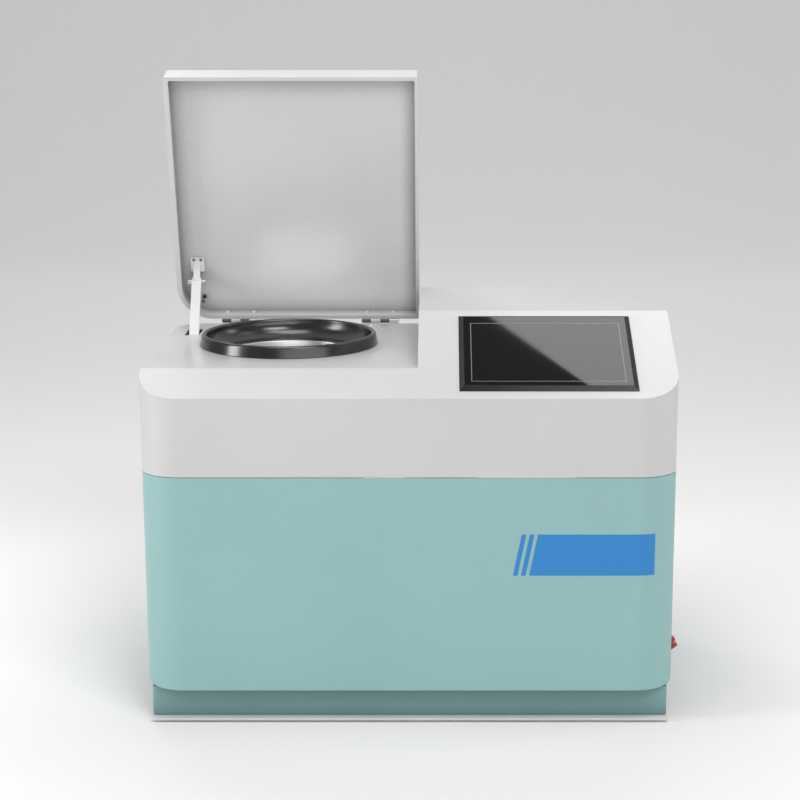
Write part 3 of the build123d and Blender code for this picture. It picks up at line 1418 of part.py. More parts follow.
with BuildPart() as fan_shroud:
    with BuildSketch(Plane.YZ.offset(SHROUD_LEFT)):
        with Locations((FAN_Y, FAN_Z)):
            Rectangle(SHROUD_W, SHROUD_W)
            Circle(SHROUD_HOLE_R, mode=Mode.SUBTRACT)
    extrude(amount=SHROUD_RIGHT - SHROUD_LEFT)
    with BuildSketch(Plane.YZ.offset(SHROUD_RIGHT - SPIDER_T)):
        with Locations((FAN_Y, FAN_Z)):
            Rectangle(2 * SHROUD_HOLE_R + 2, SPIDER_ARM_W)
            Rectangle(SPIDER_ARM_W, 2 * SHROUD_HOLE_R + 2)
    extrude(amount=SPIDER_T)
    with BuildSketch(Plane.YZ.offset(SHROUD_RIGHT - FAN_MOTOR_T)):
        with Locations((FAN_Y, FAN_Z)):
            Circle(FAN_MOTOR_R)
    extrude(amount=FAN_MOTOR_T)
    with BuildSketch(Plane.YZ.offset(SHROUD_LEFT)):
        with Locations((FAN_Y, FAN_Z)):
            Circle(FAN_SHAFT_R + RUNNING_GAP)
    extrude(amount=SHROUD_RIGHT - SHROUD_LEFT, mode=Mode.SUBTRACT)
    with BuildSketch(Plane.XY.offset(FLOOR_TOP)):
        with Locations(((SHROUD_LEFT + SHROUD_RIGHT) / 2, FAN_Y)):
            Rectangle(SHROUD_RIGHT - SHROUD_LEFT, SHROUD_W)
    extrude(amount=FAN_Z - SHROUD_W / 2 - FLOOR_TOP)
save(fan_shroud, "fan_shroud")

with BuildPart() as fan_rotor:
    with BuildSketch(Plane.YZ.offset(FAN_HUB_LEFT)):
        with Locations((FAN_Y, FAN_Z)):
            Circle(FAN_HUB_R)
    extrude(amount=FAN_HUB_T)
    with BuildSketch(Plane.YZ.offset(FAN_HUB_LEFT)):
        with Locations((FAN_Y, FAN_Z)):
            Circle(FAN_SHAFT_R)
    extrude(amount=SHROUD_RIGHT - 1 - FAN_HUB_LEFT)
    for index in range(FAN_BLADES):
        turn = radians(index * 360 / FAN_BLADES)
        pitch = radians(BLADE_PITCH)
        root = FAN_HUB_R - BLADE_ROOT_DEPTH
        blade_frame = Plane(
            origin=(FAN_HUB_LEFT + FAN_HUB_T / 2, FAN_Y + root * cos(turn), FAN_Z + root * sin(turn)),
            x_dir=(cos(pitch), -sin(pitch) * sin(turn), sin(pitch) * cos(turn)),
            z_dir=(0, cos(turn), sin(turn)),
        )
        with BuildSketch(blade_frame):
            Rectangle(BLADE_CHORD, BLADE_T)
        extrude(amount=BLADE_TIP_R - root)
save(fan_rotor, "fan_rotor")

# Refrigerant pipes: straight runs joined by round bends
PIPE_R = 3.2
PIPE_BEND = 12.0
HOT_PIPE = [(180, -95, 190), (180, -95, 245), (267, -95, 245), (267, 30, 245), (267, 30, 222)]
LIQUID_PIPE = [(267, 5, 82), (267, -14, 82), (-100, -14, 82), (-100, -50, 82), (-100, -50, 248)]
RETURN_PIPE = [(150, -95, 190), (150, -95, 228), (150, -62, 228), (-120, -62, 228), (-120, -62, 248)]

with BuildPart() as refrigerant_pipes:
    for route in (HOT_PIPE, LIQUID_PIPE, RETURN_PIPE):
        with BuildLine() as pipe_line:
            FilletPolyline(*route, radius=PIPE_BEND)
        start = pipe_line.line @ 0
        heading = pipe_line.line % 0
        with BuildSketch(Plane(origin=start, z_dir=heading)):
            Circle(PIPE_R)
        sweep(path=pipe_line.line)
save(refrigerant_pipes, "refrigerant_pipes")

# Electrical boxes on the cabinet floor
SUPPLY_X = -215.0
SUPPLY_Y = -118.0
SUPPLY_W = 115.0
SUPPLY_D = 98.0
SUPPLY_H = 50.0
TERMINAL_W = 14.0
TERMINAL_MARGIN = 10.0
BOX_CORNER_R = 2.0
VENT_COUNT = 10
VENT_STEP = 9.0
VENT_L = 58.8
VENT_W = 3.0
VENT_DEPTH = 2.0
DRIVER_X = -60.0
DRIVER_Y = -130.0
DRIVER_W = 110.0
DRIVER_D = 60.0
DRIVER_H = 110.0
SINK_FINS = 12
SINK_FIN_T = 3.0
SINK_DEPTH = 14.0

with BuildPart() as power_supply:
    with BuildSketch(Plane.XY.offset(FLOOR_TOP)):
        with Locations((SUPPLY_X, SUPPLY_Y)):
            RectangleRounded(SUPPLY_W, SUPPLY_D, BOX_CORNER_R)
    extrude(amount=SUPPLY_H)
    with BuildSketch(Plane.XY.offset(FLOOR_TOP + SUPPLY_H)):
        with Locations((SUPPLY_X, SUPPLY_Y)):
            with GridLocations(VENT_STEP, 1, VENT_COUNT, 1):
                SlotOverall(VENT_L, VENT_W, rotation=90)
    extrude(amount=-VENT_DEPTH, mode=Mode.SUBTRACT)
    with BuildSketch(Plane.XY.offset(FLOOR_TOP)):
        with Locations((SUPPLY_X, SUPPLY_Y + SUPPLY_D / 2 + TERMINAL_W / 2)):
            Rectangle(SUPPLY_W - 2 * TERMINAL_MARGIN, TERMINAL_W)
    extrude(amount=TERMINAL_W)
save(power_supply, "power_supply")

with BuildPart() as motor_driver:
    with BuildSketch(Plane.XY.offset(FLOOR_TOP)):
        with Locations((DRIVER_X, DRIVER_Y)):
            RectangleRounded(DRIVER_W, DRIVER_D, BOX_CORNER_R)
    extrude(amount=DRIVER_H)
    with BuildSketch(Plane.XY.offset(FLOOR_TOP)):
        with Locations((DRIVER_X, DRIVER_Y + DRIVER_D / 2 + SINK_DEPTH / 2)):
            with GridLocations((DRIVER_W - SINK_FIN_T) / (SINK_FINS - 1), 1, SINK_FINS, 1):
                Rectangle(SINK_FIN_T, SINK_DEPTH)
    extrude(amount=DRIVER_H)
save(motor_driver, "motor_driver")

# Mains inlet in the rear panel: three pins in a recess, two ears
INLET_FLANGE_W = 48.0
INLET_FLANGE_H = 26.0
INLET_FLANGE_T = 3.0
INLET_FLANGE_R = 4.0
INLET_CAVITY_CUT = 5.0
INLET_DEPTH = 24.0
INLET_CAVITY_W = 24.4
INLET_CAVITY_H = 16.8
INLET_CAVITY_DEPTH = 17.0
INLET_PIN_W = 2.0
INLET_PIN_H = 4.0
INLET_PIN_L = 14.0
INLET_PINS = [(-7.0, -1.4), (7.0, -1.4), (0.0, 3.0)]
PANEL_FACE = Plane(origin=(INLET_X, REAR + SHEET, INLET_Z), x_dir=(-1, 0, 0), z_dir=(0, 1, 0))

with BuildPart() as power_inlet:
    with BuildSketch(PANEL_FACE):
        RectangleRounded(INLET_FLANGE_W, INLET_FLANGE_H, INLET_FLANGE_R)
    extrude(amount=INLET_FLANGE_T)
    with BuildSketch(PANEL_FACE):
        Rectangle(INLET_CUT_W, INLET_CUT_H)
    extrude(amount=-INLET_DEPTH)
    with BuildSketch(PANEL_FACE.offset(INLET_FLANGE_T)):
        cavity = Rectangle(INLET_CAVITY_W, INLET_CAVITY_H)
        chamfer(cavity.vertices().group_by(Axis.Y)[-1], INLET_CAVITY_CUT)
    extrude(amount=-INLET_CAVITY_DEPTH, mode=Mode.SUBTRACT)
    with BuildSketch(PANEL_FACE.offset(INLET_FLANGE_T - INLET_CAVITY_DEPTH)):
        with Locations(*INLET_PINS):
            Rectangle(INLET_PIN_W, INLET_PIN_H)
    extrude(amount=INLET_PIN_L)
save(power_inlet, "power_inlet")

# Rocker switch on the right side
SWITCH_FLANGE_W = 19.0
SWITCH_FLANGE_H = 26.0
SWITCH_FLANGE_T = 1.8
SWITCH_FLANGE_R = 1.5
SWITCH_BODY_L = 18.0
SWITCH_HOLE_W = 11.0
SWITCH_HOLE_H = 19.4
SWITCH_HOLE_L = 10.0
ROCKER_W = 10.4
ROCKER_PROFILE = [
    (-3.5, -6.2),
    (0.5, -9.1),
    (3.0, -8.8),
    (11.6, -2.4),
    (11.4, -1.2),
    (5.5, 1.6),
    (9.2, 4.2),
    (8.6, 5.6),
    (2.6, 8.3),
    (0.5, 8.5),
    (-3.5, 6.2),
]
SIDE_FACE = Plane(origin=(SIDE, SWITCH_Y, SWITCH_Z), x_dir=(0, 1, 0), z_dir=(1, 0, 0))
ROCKER_SIDE = Plane(origin=(SIDE, SWITCH_Y - ROCKER_W / 2, SWITCH_Z), x_dir=(1, 0, 0), z_dir=(0, -1, 0))

with BuildPart() as switch_housing:
    with BuildSketch(SIDE_FACE):
        RectangleRounded(SWITCH_FLANGE_W, SWITCH_FLANGE_H, SWITCH_FLANGE_R)
    extrude(amount=SWITCH_FLANGE_T)
    with BuildSketch(SIDE_FACE):
        Rectangle(SWITCH_CUT_W, SWITCH_CUT_H)
    extrude(amount=-SWITCH_BODY_L)
    with BuildSketch(SIDE_FACE.offset(SWITCH_FLANGE_T)):
        Rectangle(SWITCH_HOLE_W, SWITCH_HOLE_H)
    extrude(amount=-SWITCH_HOLE_L, mode=Mode.SUBTRACT)
save(switch_housing, "switch_housing")

with BuildPart() as switch_rocker:
    with BuildSketch(ROCKER_SIDE):
        with BuildLine():
            Polyline(*ROCKER_PROFILE, close=True)
        make_face()
    extrude(amount=-ROCKER_W)
save(switch_rocker, "switch_rocker")
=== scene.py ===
"""Looks of the bench-top cold grinding mill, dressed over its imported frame."""

import json
import logging
import math
from dataclasses import dataclass
from enum import Enum
from typing import Callable, Sequence

import bmesh
import bpy
from mathutils import Matrix, Vector


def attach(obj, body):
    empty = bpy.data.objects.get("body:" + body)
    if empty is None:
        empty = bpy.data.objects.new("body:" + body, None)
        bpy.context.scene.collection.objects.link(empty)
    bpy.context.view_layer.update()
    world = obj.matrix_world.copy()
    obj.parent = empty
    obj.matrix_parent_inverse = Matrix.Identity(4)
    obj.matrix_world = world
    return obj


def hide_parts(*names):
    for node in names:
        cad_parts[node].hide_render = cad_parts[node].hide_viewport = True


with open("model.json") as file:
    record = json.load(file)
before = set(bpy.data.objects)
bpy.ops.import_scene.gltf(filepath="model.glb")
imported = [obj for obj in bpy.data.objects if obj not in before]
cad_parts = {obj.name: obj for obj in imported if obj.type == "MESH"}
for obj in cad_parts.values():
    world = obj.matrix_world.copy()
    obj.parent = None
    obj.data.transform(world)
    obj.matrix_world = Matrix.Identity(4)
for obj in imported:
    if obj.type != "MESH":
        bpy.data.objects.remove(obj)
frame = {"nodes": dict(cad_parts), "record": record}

LOG = logging.getLogger("mill")
MM = 0.001
Pair = tuple[float, float]
Triple = tuple[float, float, float]
Quad = tuple[float, float, float, float]
Colour = Triple
Node = bpy.types.Node
Socket = bpy.types.NodeSocket
BMesh = bmesh.types.BMesh
Face = bmesh.types.BMFace
ops = bmesh.ops
WHITE = (1.0, 1.0, 1.0, 1.0)
DUST_COLOUR = (0.62, 0.61, 0.59)
DUST_ROUGHNESS = 0.5
# Painted shade: share of their own colour that corners and hollows are darkened towards.
PAINTED_SHADE_LEVEL = 0.1
WELD = 0.000002
FLAT_DEGREES = 0.4
PROFILE_SEGMENTS = 10


@dataclass
class Board:
    """The node tree of a material, a group or the world, while it is being wired."""

    tree: bpy.types.NodeTree

    def add(self, kind: str, settings: dict | None = None, *first: object, **inputs: object) -> Node:
        """Adds a node, sets its options, and sets or links its inputs.

        Args:
            kind: Node type without its ShaderNode prefix.
            settings: Properties of the node itself.
            first: Values or sockets for the first inputs, in their order.
            inputs: Values or sockets by the input's name, with underscores for spaces.

        Returns:
            The new node.
        """
        node = self.tree.nodes.new("ShaderNode" + kind)
        for key, value in (settings or {}).items():
            setattr(node, key, value)
        for socket, value in zip(node.inputs, first):
            self.feed(socket, value)
        for key, value in inputs.items():
            self.feed(node.inputs[key.replace("_", " ")], value)
        return node

    def feed(self, socket: Socket, value: object) -> None:
        """Links a value to a socket, or sets it there as a constant.

        Args:
            socket: Input that is fed.
            value: Output socket or constant.
        """
        if isinstance(value, Socket):
            self.tree.links.new(value, socket)
        else:
            socket.default_value = value

    def math(self, operation: str, first: object, second: object = 0.0, clamp: bool = False) -> Socket:
        """The result of a Math node, kept between 0 and 1 where clamp is set."""
        return self.add("Math", {"operation": operation, "use_clamp": clamp}, first, second).outputs[0]

    def ramp(self, value: Socket, low: float, high: float, to_low: float = 0.0,
             to_high: float = 1.0) -> Socket:
        """The value mapped smoothly, so that low becomes to_low and high becomes to_high."""
        settings = {"interpolation_type": "SMOOTHSTEP"}
        return self.add("MapRange", settings, value, low, high, to_low, to_high).outputs[0]

    def mix(self, factor: object, first: object, second: object) -> Socket:
        """Mixes two colours.

        Args:
            factor: Share of the second colour.
            first: First colour or socket.
            second: Second colour or socket.

        Returns:
            The mixed colour.
        """
        node = self.add("Mix", {"data_type": "RGBA"}, factor)
        self.feed(node.inputs[6], rgba(first))
        self.feed(node.inputs[7], rgba(second))
        return node.outputs[2]

    def place(self) -> Socket:
        """The piece's own coordinates, in metres."""
        return self.add("TexCoord").outputs["Object"]

    def distance(self, first: Socket, second: Socket) -> Socket:
        """The length of a flat vector with these two parts."""
        square = self.math("ADD", self.math("MULTIPLY", first, first), self.math("MULTIPLY", second, second))
        return self.math("SQRT", square)

    def noise(self, scale: object, detail: float) -> Socket:
        """Noise from 0 to 1 on the piece's own coordinates, with its scale in waves a metre."""
        return self.add("TexNoise", Vector=self.place(), Scale=scale, Detail=detail).outputs[0]

    def patches(self, scale: object, detail: float = 2.0) -> Socket:
        """Large soft patches."""
        return self.ramp(self.noise(scale, detail), 0.3, 0.7)


def blank_board(holder: bpy.types.ID) -> Board:
    """Empties a node tree.

    Args:
        holder: Material or world that has the tree.

    Returns:
        The tree's board.
    """
    holder.use_nodes = True
    holder.node_tree.nodes.clear()
    return Board(holder.node_tree)


def rgba(colour: object) -> object:
    """Gives a plain colour its fourth value, and passes a socket through."""
    return (*colour, 1.0) if isinstance(colour, tuple) else colour


def paint(red: float, green: float, blue: float) -> Colour:
    """Linear colour of a display colour given from 0 to 255."""
    parts = [value / 255 for value in (red, green, blue)]
    return tuple(p / 12.92 if p <= 0.04045 else ((p + 0.055) / 1.055) ** 2.4 for p in parts)


class Effect(Enum):
    """Effects that several finishes share, each a node group that is built once."""

    GRAIN = "fine_grain"
    EDGE = "edge_wear"
    DUST = "settled_dust"
    # Painted shade in corners and hollows, from an ambient-occlusion mask.
    PAINTED_SHADE = "painted_recess_shade"
    LINES = "brushed_lines"
    RINGS = "turned_rings"

    def use(self, board: Board, **inputs: object) -> Node:
        """Adds this effect's node group to a board, building it on first use."""
        group = bpy.data.node_groups.get(self.value) or self.build()
        return board.add("Group", {"node_tree": group}, **inputs)

    def build(self) -> bpy.types.NodeTree:
        """Builds the group with its named inputs and outputs.

        Returns:
            The new node group.
        """
        tree = bpy.data.node_groups.new(self.value, "ShaderNodeTree")
        inputs, outputs, wire = {
            Effect.GRAIN: ((("Size", 900.0), ("Patch Size", 5.0)), ("Height", "Patch"), self.wire_grain),
            Effect.EDGE: ((("Width", 0.0008),), ("Mask",), self.wire_edge),
            Effect.DUST: ((("Amount", 0.3),), ("Mask",), self.wire_dust),
            Effect.PAINTED_SHADE: ((("Reach", 0.03),), ("Mask",), self.wire_painted_shade),
            Effect.LINES: ((("Size", 60.0), ("Along X", 1.0), ("Along Y", 1.0), ("Along Z", 1.0)),
                           ("Height", "Patch"), self.wire_lines),
            Effect.RINGS: ((("Centre X", 0.0), ("Centre Y", 0.0), ("Size", 900.0)),
                           ("Height", "Patch"), self.wire_rings),
        }[self]
        for name, value in inputs:
            socket = tree.interface.new_socket(name, in_out="INPUT", socket_type="NodeSocketFloat")
            socket.default_value = value
        for name in outputs:
            tree.interface.new_socket(name, in_out="OUTPUT", socket_type="NodeSocketFloat")
        source = tree.nodes.new("NodeGroupInput").outputs
        target = tree.nodes.new("NodeGroupOutput").inputs
        for name, result in wire(Board(tree), source).items():
            tree.links.new(result, target[name])
        return tree

    def wire_grain(self, board: Board, source: object) -> dict[str, Socket]:
        """Fine orange-peel height and large soft patches."""
        patch = board.patches(source["Patch Size"], 3.0)
        return {"Height": board.noise(source["Size"], 2.0), "Patch": patch}

    def wire_edge(self, board: Board, source: object) -> dict[str, Socket]:
        """Mask of the folded and cut edges, broken up by noise.

        Args:
            board: The group's board.
            source: The group's inputs.

        Returns:
            The group's outputs by name.
        """
        rounded = board.add("Bevel", {"samples": 4}, Radius=source["Width"]).outputs[0]
        flat = board.add("NewGeometry").outputs["Normal"]
        dot = board.add("VectorMath", {"operation": "DOT_PRODUCT"}, rounded, flat)
        turn = board.math("SUBTRACT", 1.0, dot.outputs["Value"])
        rough = board.ramp(board.noise(140.0, 3.0), 0.35, 0.65, 0.4, 1.0)
        return {"Mask": board.math("MULTIPLY", board.ramp(turn, 0.01, 0.12), rough)}

    def wire_dust(self, board: Board, source: object) -> dict[str, Socket]:
        """Mask of the dust that lies on faces that look upwards.

        Args:
            board: The group's board.
            source: The group's inputs.

        Returns:
            The group's outputs by name.
        """
        normal = board.add("NewGeometry").outputs["Normal"]
        up = board.add("SeparateXYZ", Vector=normal).outputs["Z"]
        level = board.ramp(up, 0.4, 0.98)
        cloud = board.ramp(board.noise(11.0, 5.0), 0.42, 0.75)
        return {"Mask": board.math("MULTIPLY", board.math("MULTIPLY", level, cloud), source["Amount"])}

    def wire_painted_shade(self, board: Board, source: object) -> dict[str, Socket]:
        """Mask of the corners and hollows, by ambient occlusion, for painted shade where less light reaches.
        """
        open_share = board.add("AmbientOcclusion", {"samples": 6}, Distance=source["Reach"])
        return {"Mask": board.math("SUBTRACT", 1.0, open_share.outputs["AO"])}

    def wire_lines(self, board: Board, source: object) -> dict[str, Socket]:
        """Long fine lines, stretched by the factors along each axis.

        Args:
            board: The group's board.
            source: The group's inputs.

        Returns:
            The group's outputs by name.
        """
        factors = board.add("CombineXYZ", X=source["Along X"], Y=source["Along Y"], Z=source["Along Z"])
        scaled = board.add("VectorMath", {"operation": "MULTIPLY"}, board.place(), factors.outputs[0])
        fine = board.add("TexNoise", Vector=scaled.outputs[0], Scale=source["Size"], Detail=3.0)
        return {"Height": fine.outputs[0], "Patch": board.patches(9.0)}

    def wire_rings(self, board: Board, source: object) -> dict[str, Socket]:
        """Fine rings round a vertical axis, as a lathe leaves them.

        Args:
            board: The group's board.
            source: The group's inputs.

        Returns:
            The group's outputs by name.
        """
        x, y, z = board.add("SeparateXYZ", Vector=board.place()).outputs
        off_x = board.math("SUBTRACT", x, source["Centre X"])
        off_y = board.math("SUBTRACT", y, source["Centre Y"])
        spread = board.add("CombineXYZ", X=board.distance(off_x, off_y), Z=z)
        fine = board.add("TexNoise", Vector=spread.outputs[0], Scale=source["Size"], Detail=2.0)
        return {"Height": fine.outputs[0], "Patch": board.patches(12.0)}


@dataclass(frozen=True)
class Finish:
    """A surface finish: one base, one shader, and details that vary over the surface."""

    name: str
    colour: Colour
    roughness: float = 0.4
    metallic: float = 0.0
    ior: float = 1.5
    coat: float = 0.0
    coat_roughness: float = 0.1
    spread: float = 0.06
    mottle: float = 0.05
    height: float = 0.00002
    grain: float = 900.0
    wear: float = 0.0
    worn_colour: Colour = (0.8, 0.8, 0.8)
    dust: float = 0.0
    # Painted shade: how strongly corners and hollows are darkened, and how far the darkening reaches.
    painted_shade_amount: float = 0.0
    reach: float = 0.03
    slot: str = ""

    def shade(self, factor: float) -> Colour:
        """This finish's colour made darker or lighter by a factor."""
        return tuple(min(part * factor, 1.0) for part in self.colour)

    def detail(self, board: Board) -> Node:
        """The group that gives this finish its relief and patches."""
        return Effect.GRAIN.use(board, Size=self.grain)

    def tint(self, board: Board, relief: Node) -> Socket:
        """The base colour with its slow and fine variation.

        Args:
            board: The material's board.
            relief: The node that detail() gave.

        Returns:
            The colour socket.
        """
        slow = board.mix(relief.outputs["Patch"], self.shade(1 - self.mottle), self.shade(1 + self.mottle))
        fine = board.ramp(relief.outputs["Height"], 0.3, 0.7, 1 - self.mottle, 1 + self.mottle)
        return board.add("VectorMath", {"operation": "SCALE"}, slow, Scale=fine).outputs[0]

    def material(self) -> bpy.types.Material:
        """Gives this finish's material, building it on first use.

        Returns:
            The material.
        """
        name = self.name + "_finish"
        if name in bpy.data.materials:
            return bpy.data.materials[name]
        made = bpy.data.materials.new(name)
        made.diffuse_color = rgba(self.colour)
        board = blank_board(made)
        relief = self.detail(board)
        colour = self.tint(board, relief)
        rough = board.ramp(relief.outputs["Patch"], 0.0, 1.0, self.roughness - self.spread,
                           self.roughness + self.spread)
        if self.wear:
            share = board.math("MULTIPLY", Effect.EDGE.use(board).outputs[0], self.wear)
            colour = board.mix(share, colour, self.worn_colour)
        # Painted shade: corners and hollows are darkened by the ambient-occlusion mask.
        if self.painted_shade_amount:
            hollow = Effect.PAINTED_SHADE.use(board, Reach=self.reach).outputs[0]
            colour = board.mix(board.math("MULTIPLY", hollow, self.painted_shade_amount), colour, self.shade(PAINTED_SHADE_LEVEL))
        if self.dust:
            lying = Effect.DUST.use(board, Amount=self.dust).outputs[0]
            colour = board.mix(lying, colour, DUST_COLOUR)
            rough = board.math("ADD", rough, board.math("MULTIPLY", lying, DUST_ROUGHNESS), clamp=True)
        bump = board.add("Bump", Height=relief.outputs["Height"], Distance=self.height, Strength=1.0)
        shader = board.add("BsdfPrincipled", Base_Color=colour, Roughness=rough, Metallic=self.metallic,
                           IOR=self.ior, Coat_Weight=self.coat, Coat_Roughness=self.coat_roughness,
                           Normal=bump.outputs[0])
        board.add("OutputMaterial", Surface=shader.outputs[0])
        return made


@dataclass(frozen=True)
class BrushedMetal(Finish):
    """Metal with fine lines along one axis: a factor of 1 lies across the lines."""

    metallic: float = 1.0
    along: Colour = (0.02, 1.0, 1.0)

    def detail(self, board: Board) -> Node:
        """The group that draws the brush lines."""
        along_x, along_y, along_z = self.along
        return Effect.LINES.use(board, Size=self.grain, Along_X=along_x, Along_Y=along_y, Along_Z=along_z)


@dataclass(frozen=True)
class TurnedMetal(Finish):
    """Metal turned on a lathe about a vertical axis."""

    metallic: float = 1.0
    centre: Pair = (-0.147, 0.0337)

    def detail(self, board: Board) -> Node:
        """The group that draws the turning rings."""
        return Effect.RINGS.use(board, Size=self.grain, Centre_X=self.centre[0], Centre_Y=self.centre[1])


@dataclass(frozen=True)
class CellFoam(Finish):
    """Closed-cell foam with open cut cells."""

    cells: float = 420.0
    depth_shade: float = 0.55

    def tint(self, board: Board, relief: Node) -> Socket:
        """The foam's colour, darker in the cut cells."""
        cells = board.add("TexVoronoi", Vector=board.place(), Scale=self.cells).outputs["Distance"]
        return board.mix(board.ramp(cells, 0.05, 0.5), self.shade(self.depth_shade), self.colour)


@dataclass(frozen=True)
class CircuitBoard(Finish):
    """Lacquered board with rows of tracks under the lacquer."""

    tracks: float = 60.0
    gap: float = 0.03
    gap_colour: Colour = (0.12, 0.36, 0.16)
    track_shade: float = 0.8

    def tint(self, board: Board, relief: Node) -> Socket:
        """The lacquer's colour with lighter tracks.

        Args:
            board: The material's board.
            relief: The node that detail() gave; not used.

        Returns:
            The colour socket.
        """
        tracks = board.add("TexBrick", Vector=board.place(), Scale=self.tracks, Mortar_Size=self.gap,
                           Color1=rgba(self.colour), Color2=rgba(self.shade(self.track_shade)),
                           Mortar=rgba(self.gap_colour))
        return tracks.outputs["Color"]


GREY = (0.70, 0.70, 0.70)
TEAL = paint(156, 199, 198)
# Painted shade: the plinth's teal is a darker copy of the cabinet's teal, standing in for the shade under
# the cabinet's overhang.
PLINTH_TEAL_SHADED = paint(136, 175, 175)
FINISHES: dict[str, Finish] = {finish.name: finish for finish in (
    Finish("paint_teal", TEAL, 0.42, height=0.000012, mottle=0.02, wear=0.25,
           worn_colour=(0.55, 0.72, 0.71), dust=0.08),
    # Plinth: darker copy of the teal with a darker worn colour and strong painted shade in hollows, all
    # standing in for shade under the overhang.
    Finish("plinth_teal_shaded", PLINTH_TEAL_SHADED, 0.42, height=0.000012, mottle=0.03, wear=0.25,
           worn_colour=(0.45, 0.62, 0.61), dust=0.08, painted_shade_amount=1.0, slot="paint_teal"),
    # The grey paint carries weak painted shade in corners and hollows, reaching far.
    Finish("paint_grey", GREY, 0.36, coat=0.3, coat_roughness=0.12, height=0.00003, grain=1100.0,
           mottle=0.025, wear=0.4, worn_colour=(0.92, 0.92, 0.92), dust=0.06, painted_shade_amount=0.35, reach=0.12),
    # The liner carries strong painted shade along its inner edges.
    Finish("liner_grey", GREY, 0.36, coat=0.3, coat_roughness=0.12, height=0.00005, grain=800.0,
           mottle=0.04, wear=0.4, worn_colour=(0.92, 0.92, 0.92), painted_shade_amount=0.9, reach=0.02,
           slot="paint_grey"),
    Finish("paint_white", (0.93, 0.93, 0.93), 0.25, coat=0.4, mottle=0.02, wear=0.2, dust=0.03,
           worn_colour=(0.98, 0.98, 0.98)),
    Finish("paint_black", (0.018, 0.018, 0.019), 0.3, coat=0.3, dust=0.25),
    Finish("plate_grey", (0.76, 0.76, 0.75), 0.4, mottle=0.03, wear=0.4, dust=0.1),
    Finish("film_blue", paint(44, 140, 214), 0.34, spread=0.04, mottle=0.015, height=0.000004),
    Finish("plastic_black", (0.006, 0.006, 0.0063), 0.24, spread=0.05, ior=1.42, height=0.000006,
           grain=500.0, mottle=0.15, dust=0.02),
    Finish("screen_black", (0.0008, 0.0008, 0.0008), 0.03, spread=0.01, ior=1.42, mottle=0.1, height=0.0),
    Finish("plastic_dark", (0.028, 0.028, 0.031), 0.48, height=0.00003, mottle=0.1, dust=0.12),
    Finish("plastic_red", paint(176, 24, 40), 0.22, mottle=0.06, height=0.000006, coat=0.4, wear=0.3,
           worn_colour=(0.75, 0.2, 0.2)),
    CircuitBoard("board_green", (0.02, 0.17, 0.075), 0.3, coat=0.4),
    CellFoam("foam", (0.74, 0.67, 0.46), 0.85, height=0.0002, grain=500.0),
    Finish("rubber_black", (0.022, 0.022, 0.023), 0.7, height=0.00005, mottle=0.2, dust=0.2),
    TurnedMetal("stainless", (0.9, 0.9, 0.89), 0.3, spread=0.07, height=0.000006, mottle=0.05),
    BrushedMetal("steel_polished", (0.74, 0.74, 0.75), 0.16, height=0.000004),
    BrushedMetal("steel_plated", (0.62, 0.63, 0.65), 0.34, mottle=0.09, height=0.000008,
                 along=(1.0, 0.05, 1.0), dust=0.1),
    BrushedMetal("steel_dark", (0.13, 0.13, 0.14), 0.36, height=0.000008, dust=0.06),
    BrushedMetal("steel_screw", (0.93, 0.93, 0.93), 0.42, height=0.000004),
    # Painted shade: a darker copy of the screw steel, standing in for the shade in the bracket's screw
    # recesses.
    BrushedMetal("screw_shaded", (0.2, 0.2, 0.205), 0.35, height=0.000004, slot="steel_screw"),
    TurnedMetal("aluminium", (0.76, 0.77, 0.78), 0.3, height=0.00001, mottle=0.06),
    Finish("copper", (0.75, 0.36, 0.2), 0.28, metallic=1.0, mottle=0.16, height=0.00001),
    Finish("ring_gloss", (0.003, 0.003, 0.0033), 0.22, spread=0.04, ior=1.85, height=0.000004, grain=500.0,
           mottle=0.15, slot="plastic_black"),
    Finish("printed_line", (0.20, 0.20, 0.205), 0.2, mottle=0.05, height=0.0, slot="screen_black"),
    Finish("screen_display", (0.0022, 0.0022, 0.0024), 0.03, spread=0.01, ior=1.42, mottle=0.04, height=0.0,
           slot="screen_black"),
)}


def place_matrix(origin: Sequence[float], x_axis: Sequence[float], z_axis: Sequence[float]) -> Matrix:
    """Matrix of a working plane.

    Args:
        origin: Origin in millimetres.
        x_axis: Direction of the plane's X.
        z_axis: Direction of the plane's normal.

    Returns:
        The matrix from the plane's millimetres to metres in the frame.
    """
    z = Vector(z_axis).normalized()
    x = Vector(x_axis).normalized()
    y = z.cross(x)
    turn = Matrix((x, y, z)).transposed().to_4x4()
    return Matrix.Translation(Vector(origin) * MM) @ turn @ Matrix.Scale(MM, 4)


def local(matrix: Matrix) -> Matrix:
    """The same working plane, from its millimetres to the frame's millimetres."""
    return Matrix.Scale(1 / MM, 4) @ matrix


def linked(name: str, data: bpy.types.ID) -> bpy.types.Object:
    """Makes an object and links it to the scene.

    Args:
        name: The object's name.
        data: Its mesh, lamp or camera.

    Returns:
        The new object.
    """
    made = bpy.data.objects.new(name, data)
    bpy.context.scene.collection.objects.link(made)
    return made


def smooth_object(mesh: BMesh, name: str, material: bpy.types.Material) -> bpy.types.Object:
    """Makes a smooth object of a mesh.

    Args:
        mesh: The mesh. It is freed.
        name: The object's name.
        material: Its only material.

    Returns:
        The new object.
    """
    data = bpy.data.meshes.new(name)
    mesh.to_mesh(data)
    mesh.free()
    data.shade_smooth()
    data.materials.append(material)
    return linked(name, data)


FLOOR = place_matrix((0, 0, 0), (1, 0, 0), (0, 0, 1))


def verts_in(geometry: Sequence[object]) -> list[bmesh.types.BMVert]:
    """The vertices among mixed mesh elements."""
    return [part for part in geometry if isinstance(part, bmesh.types.BMVert)]


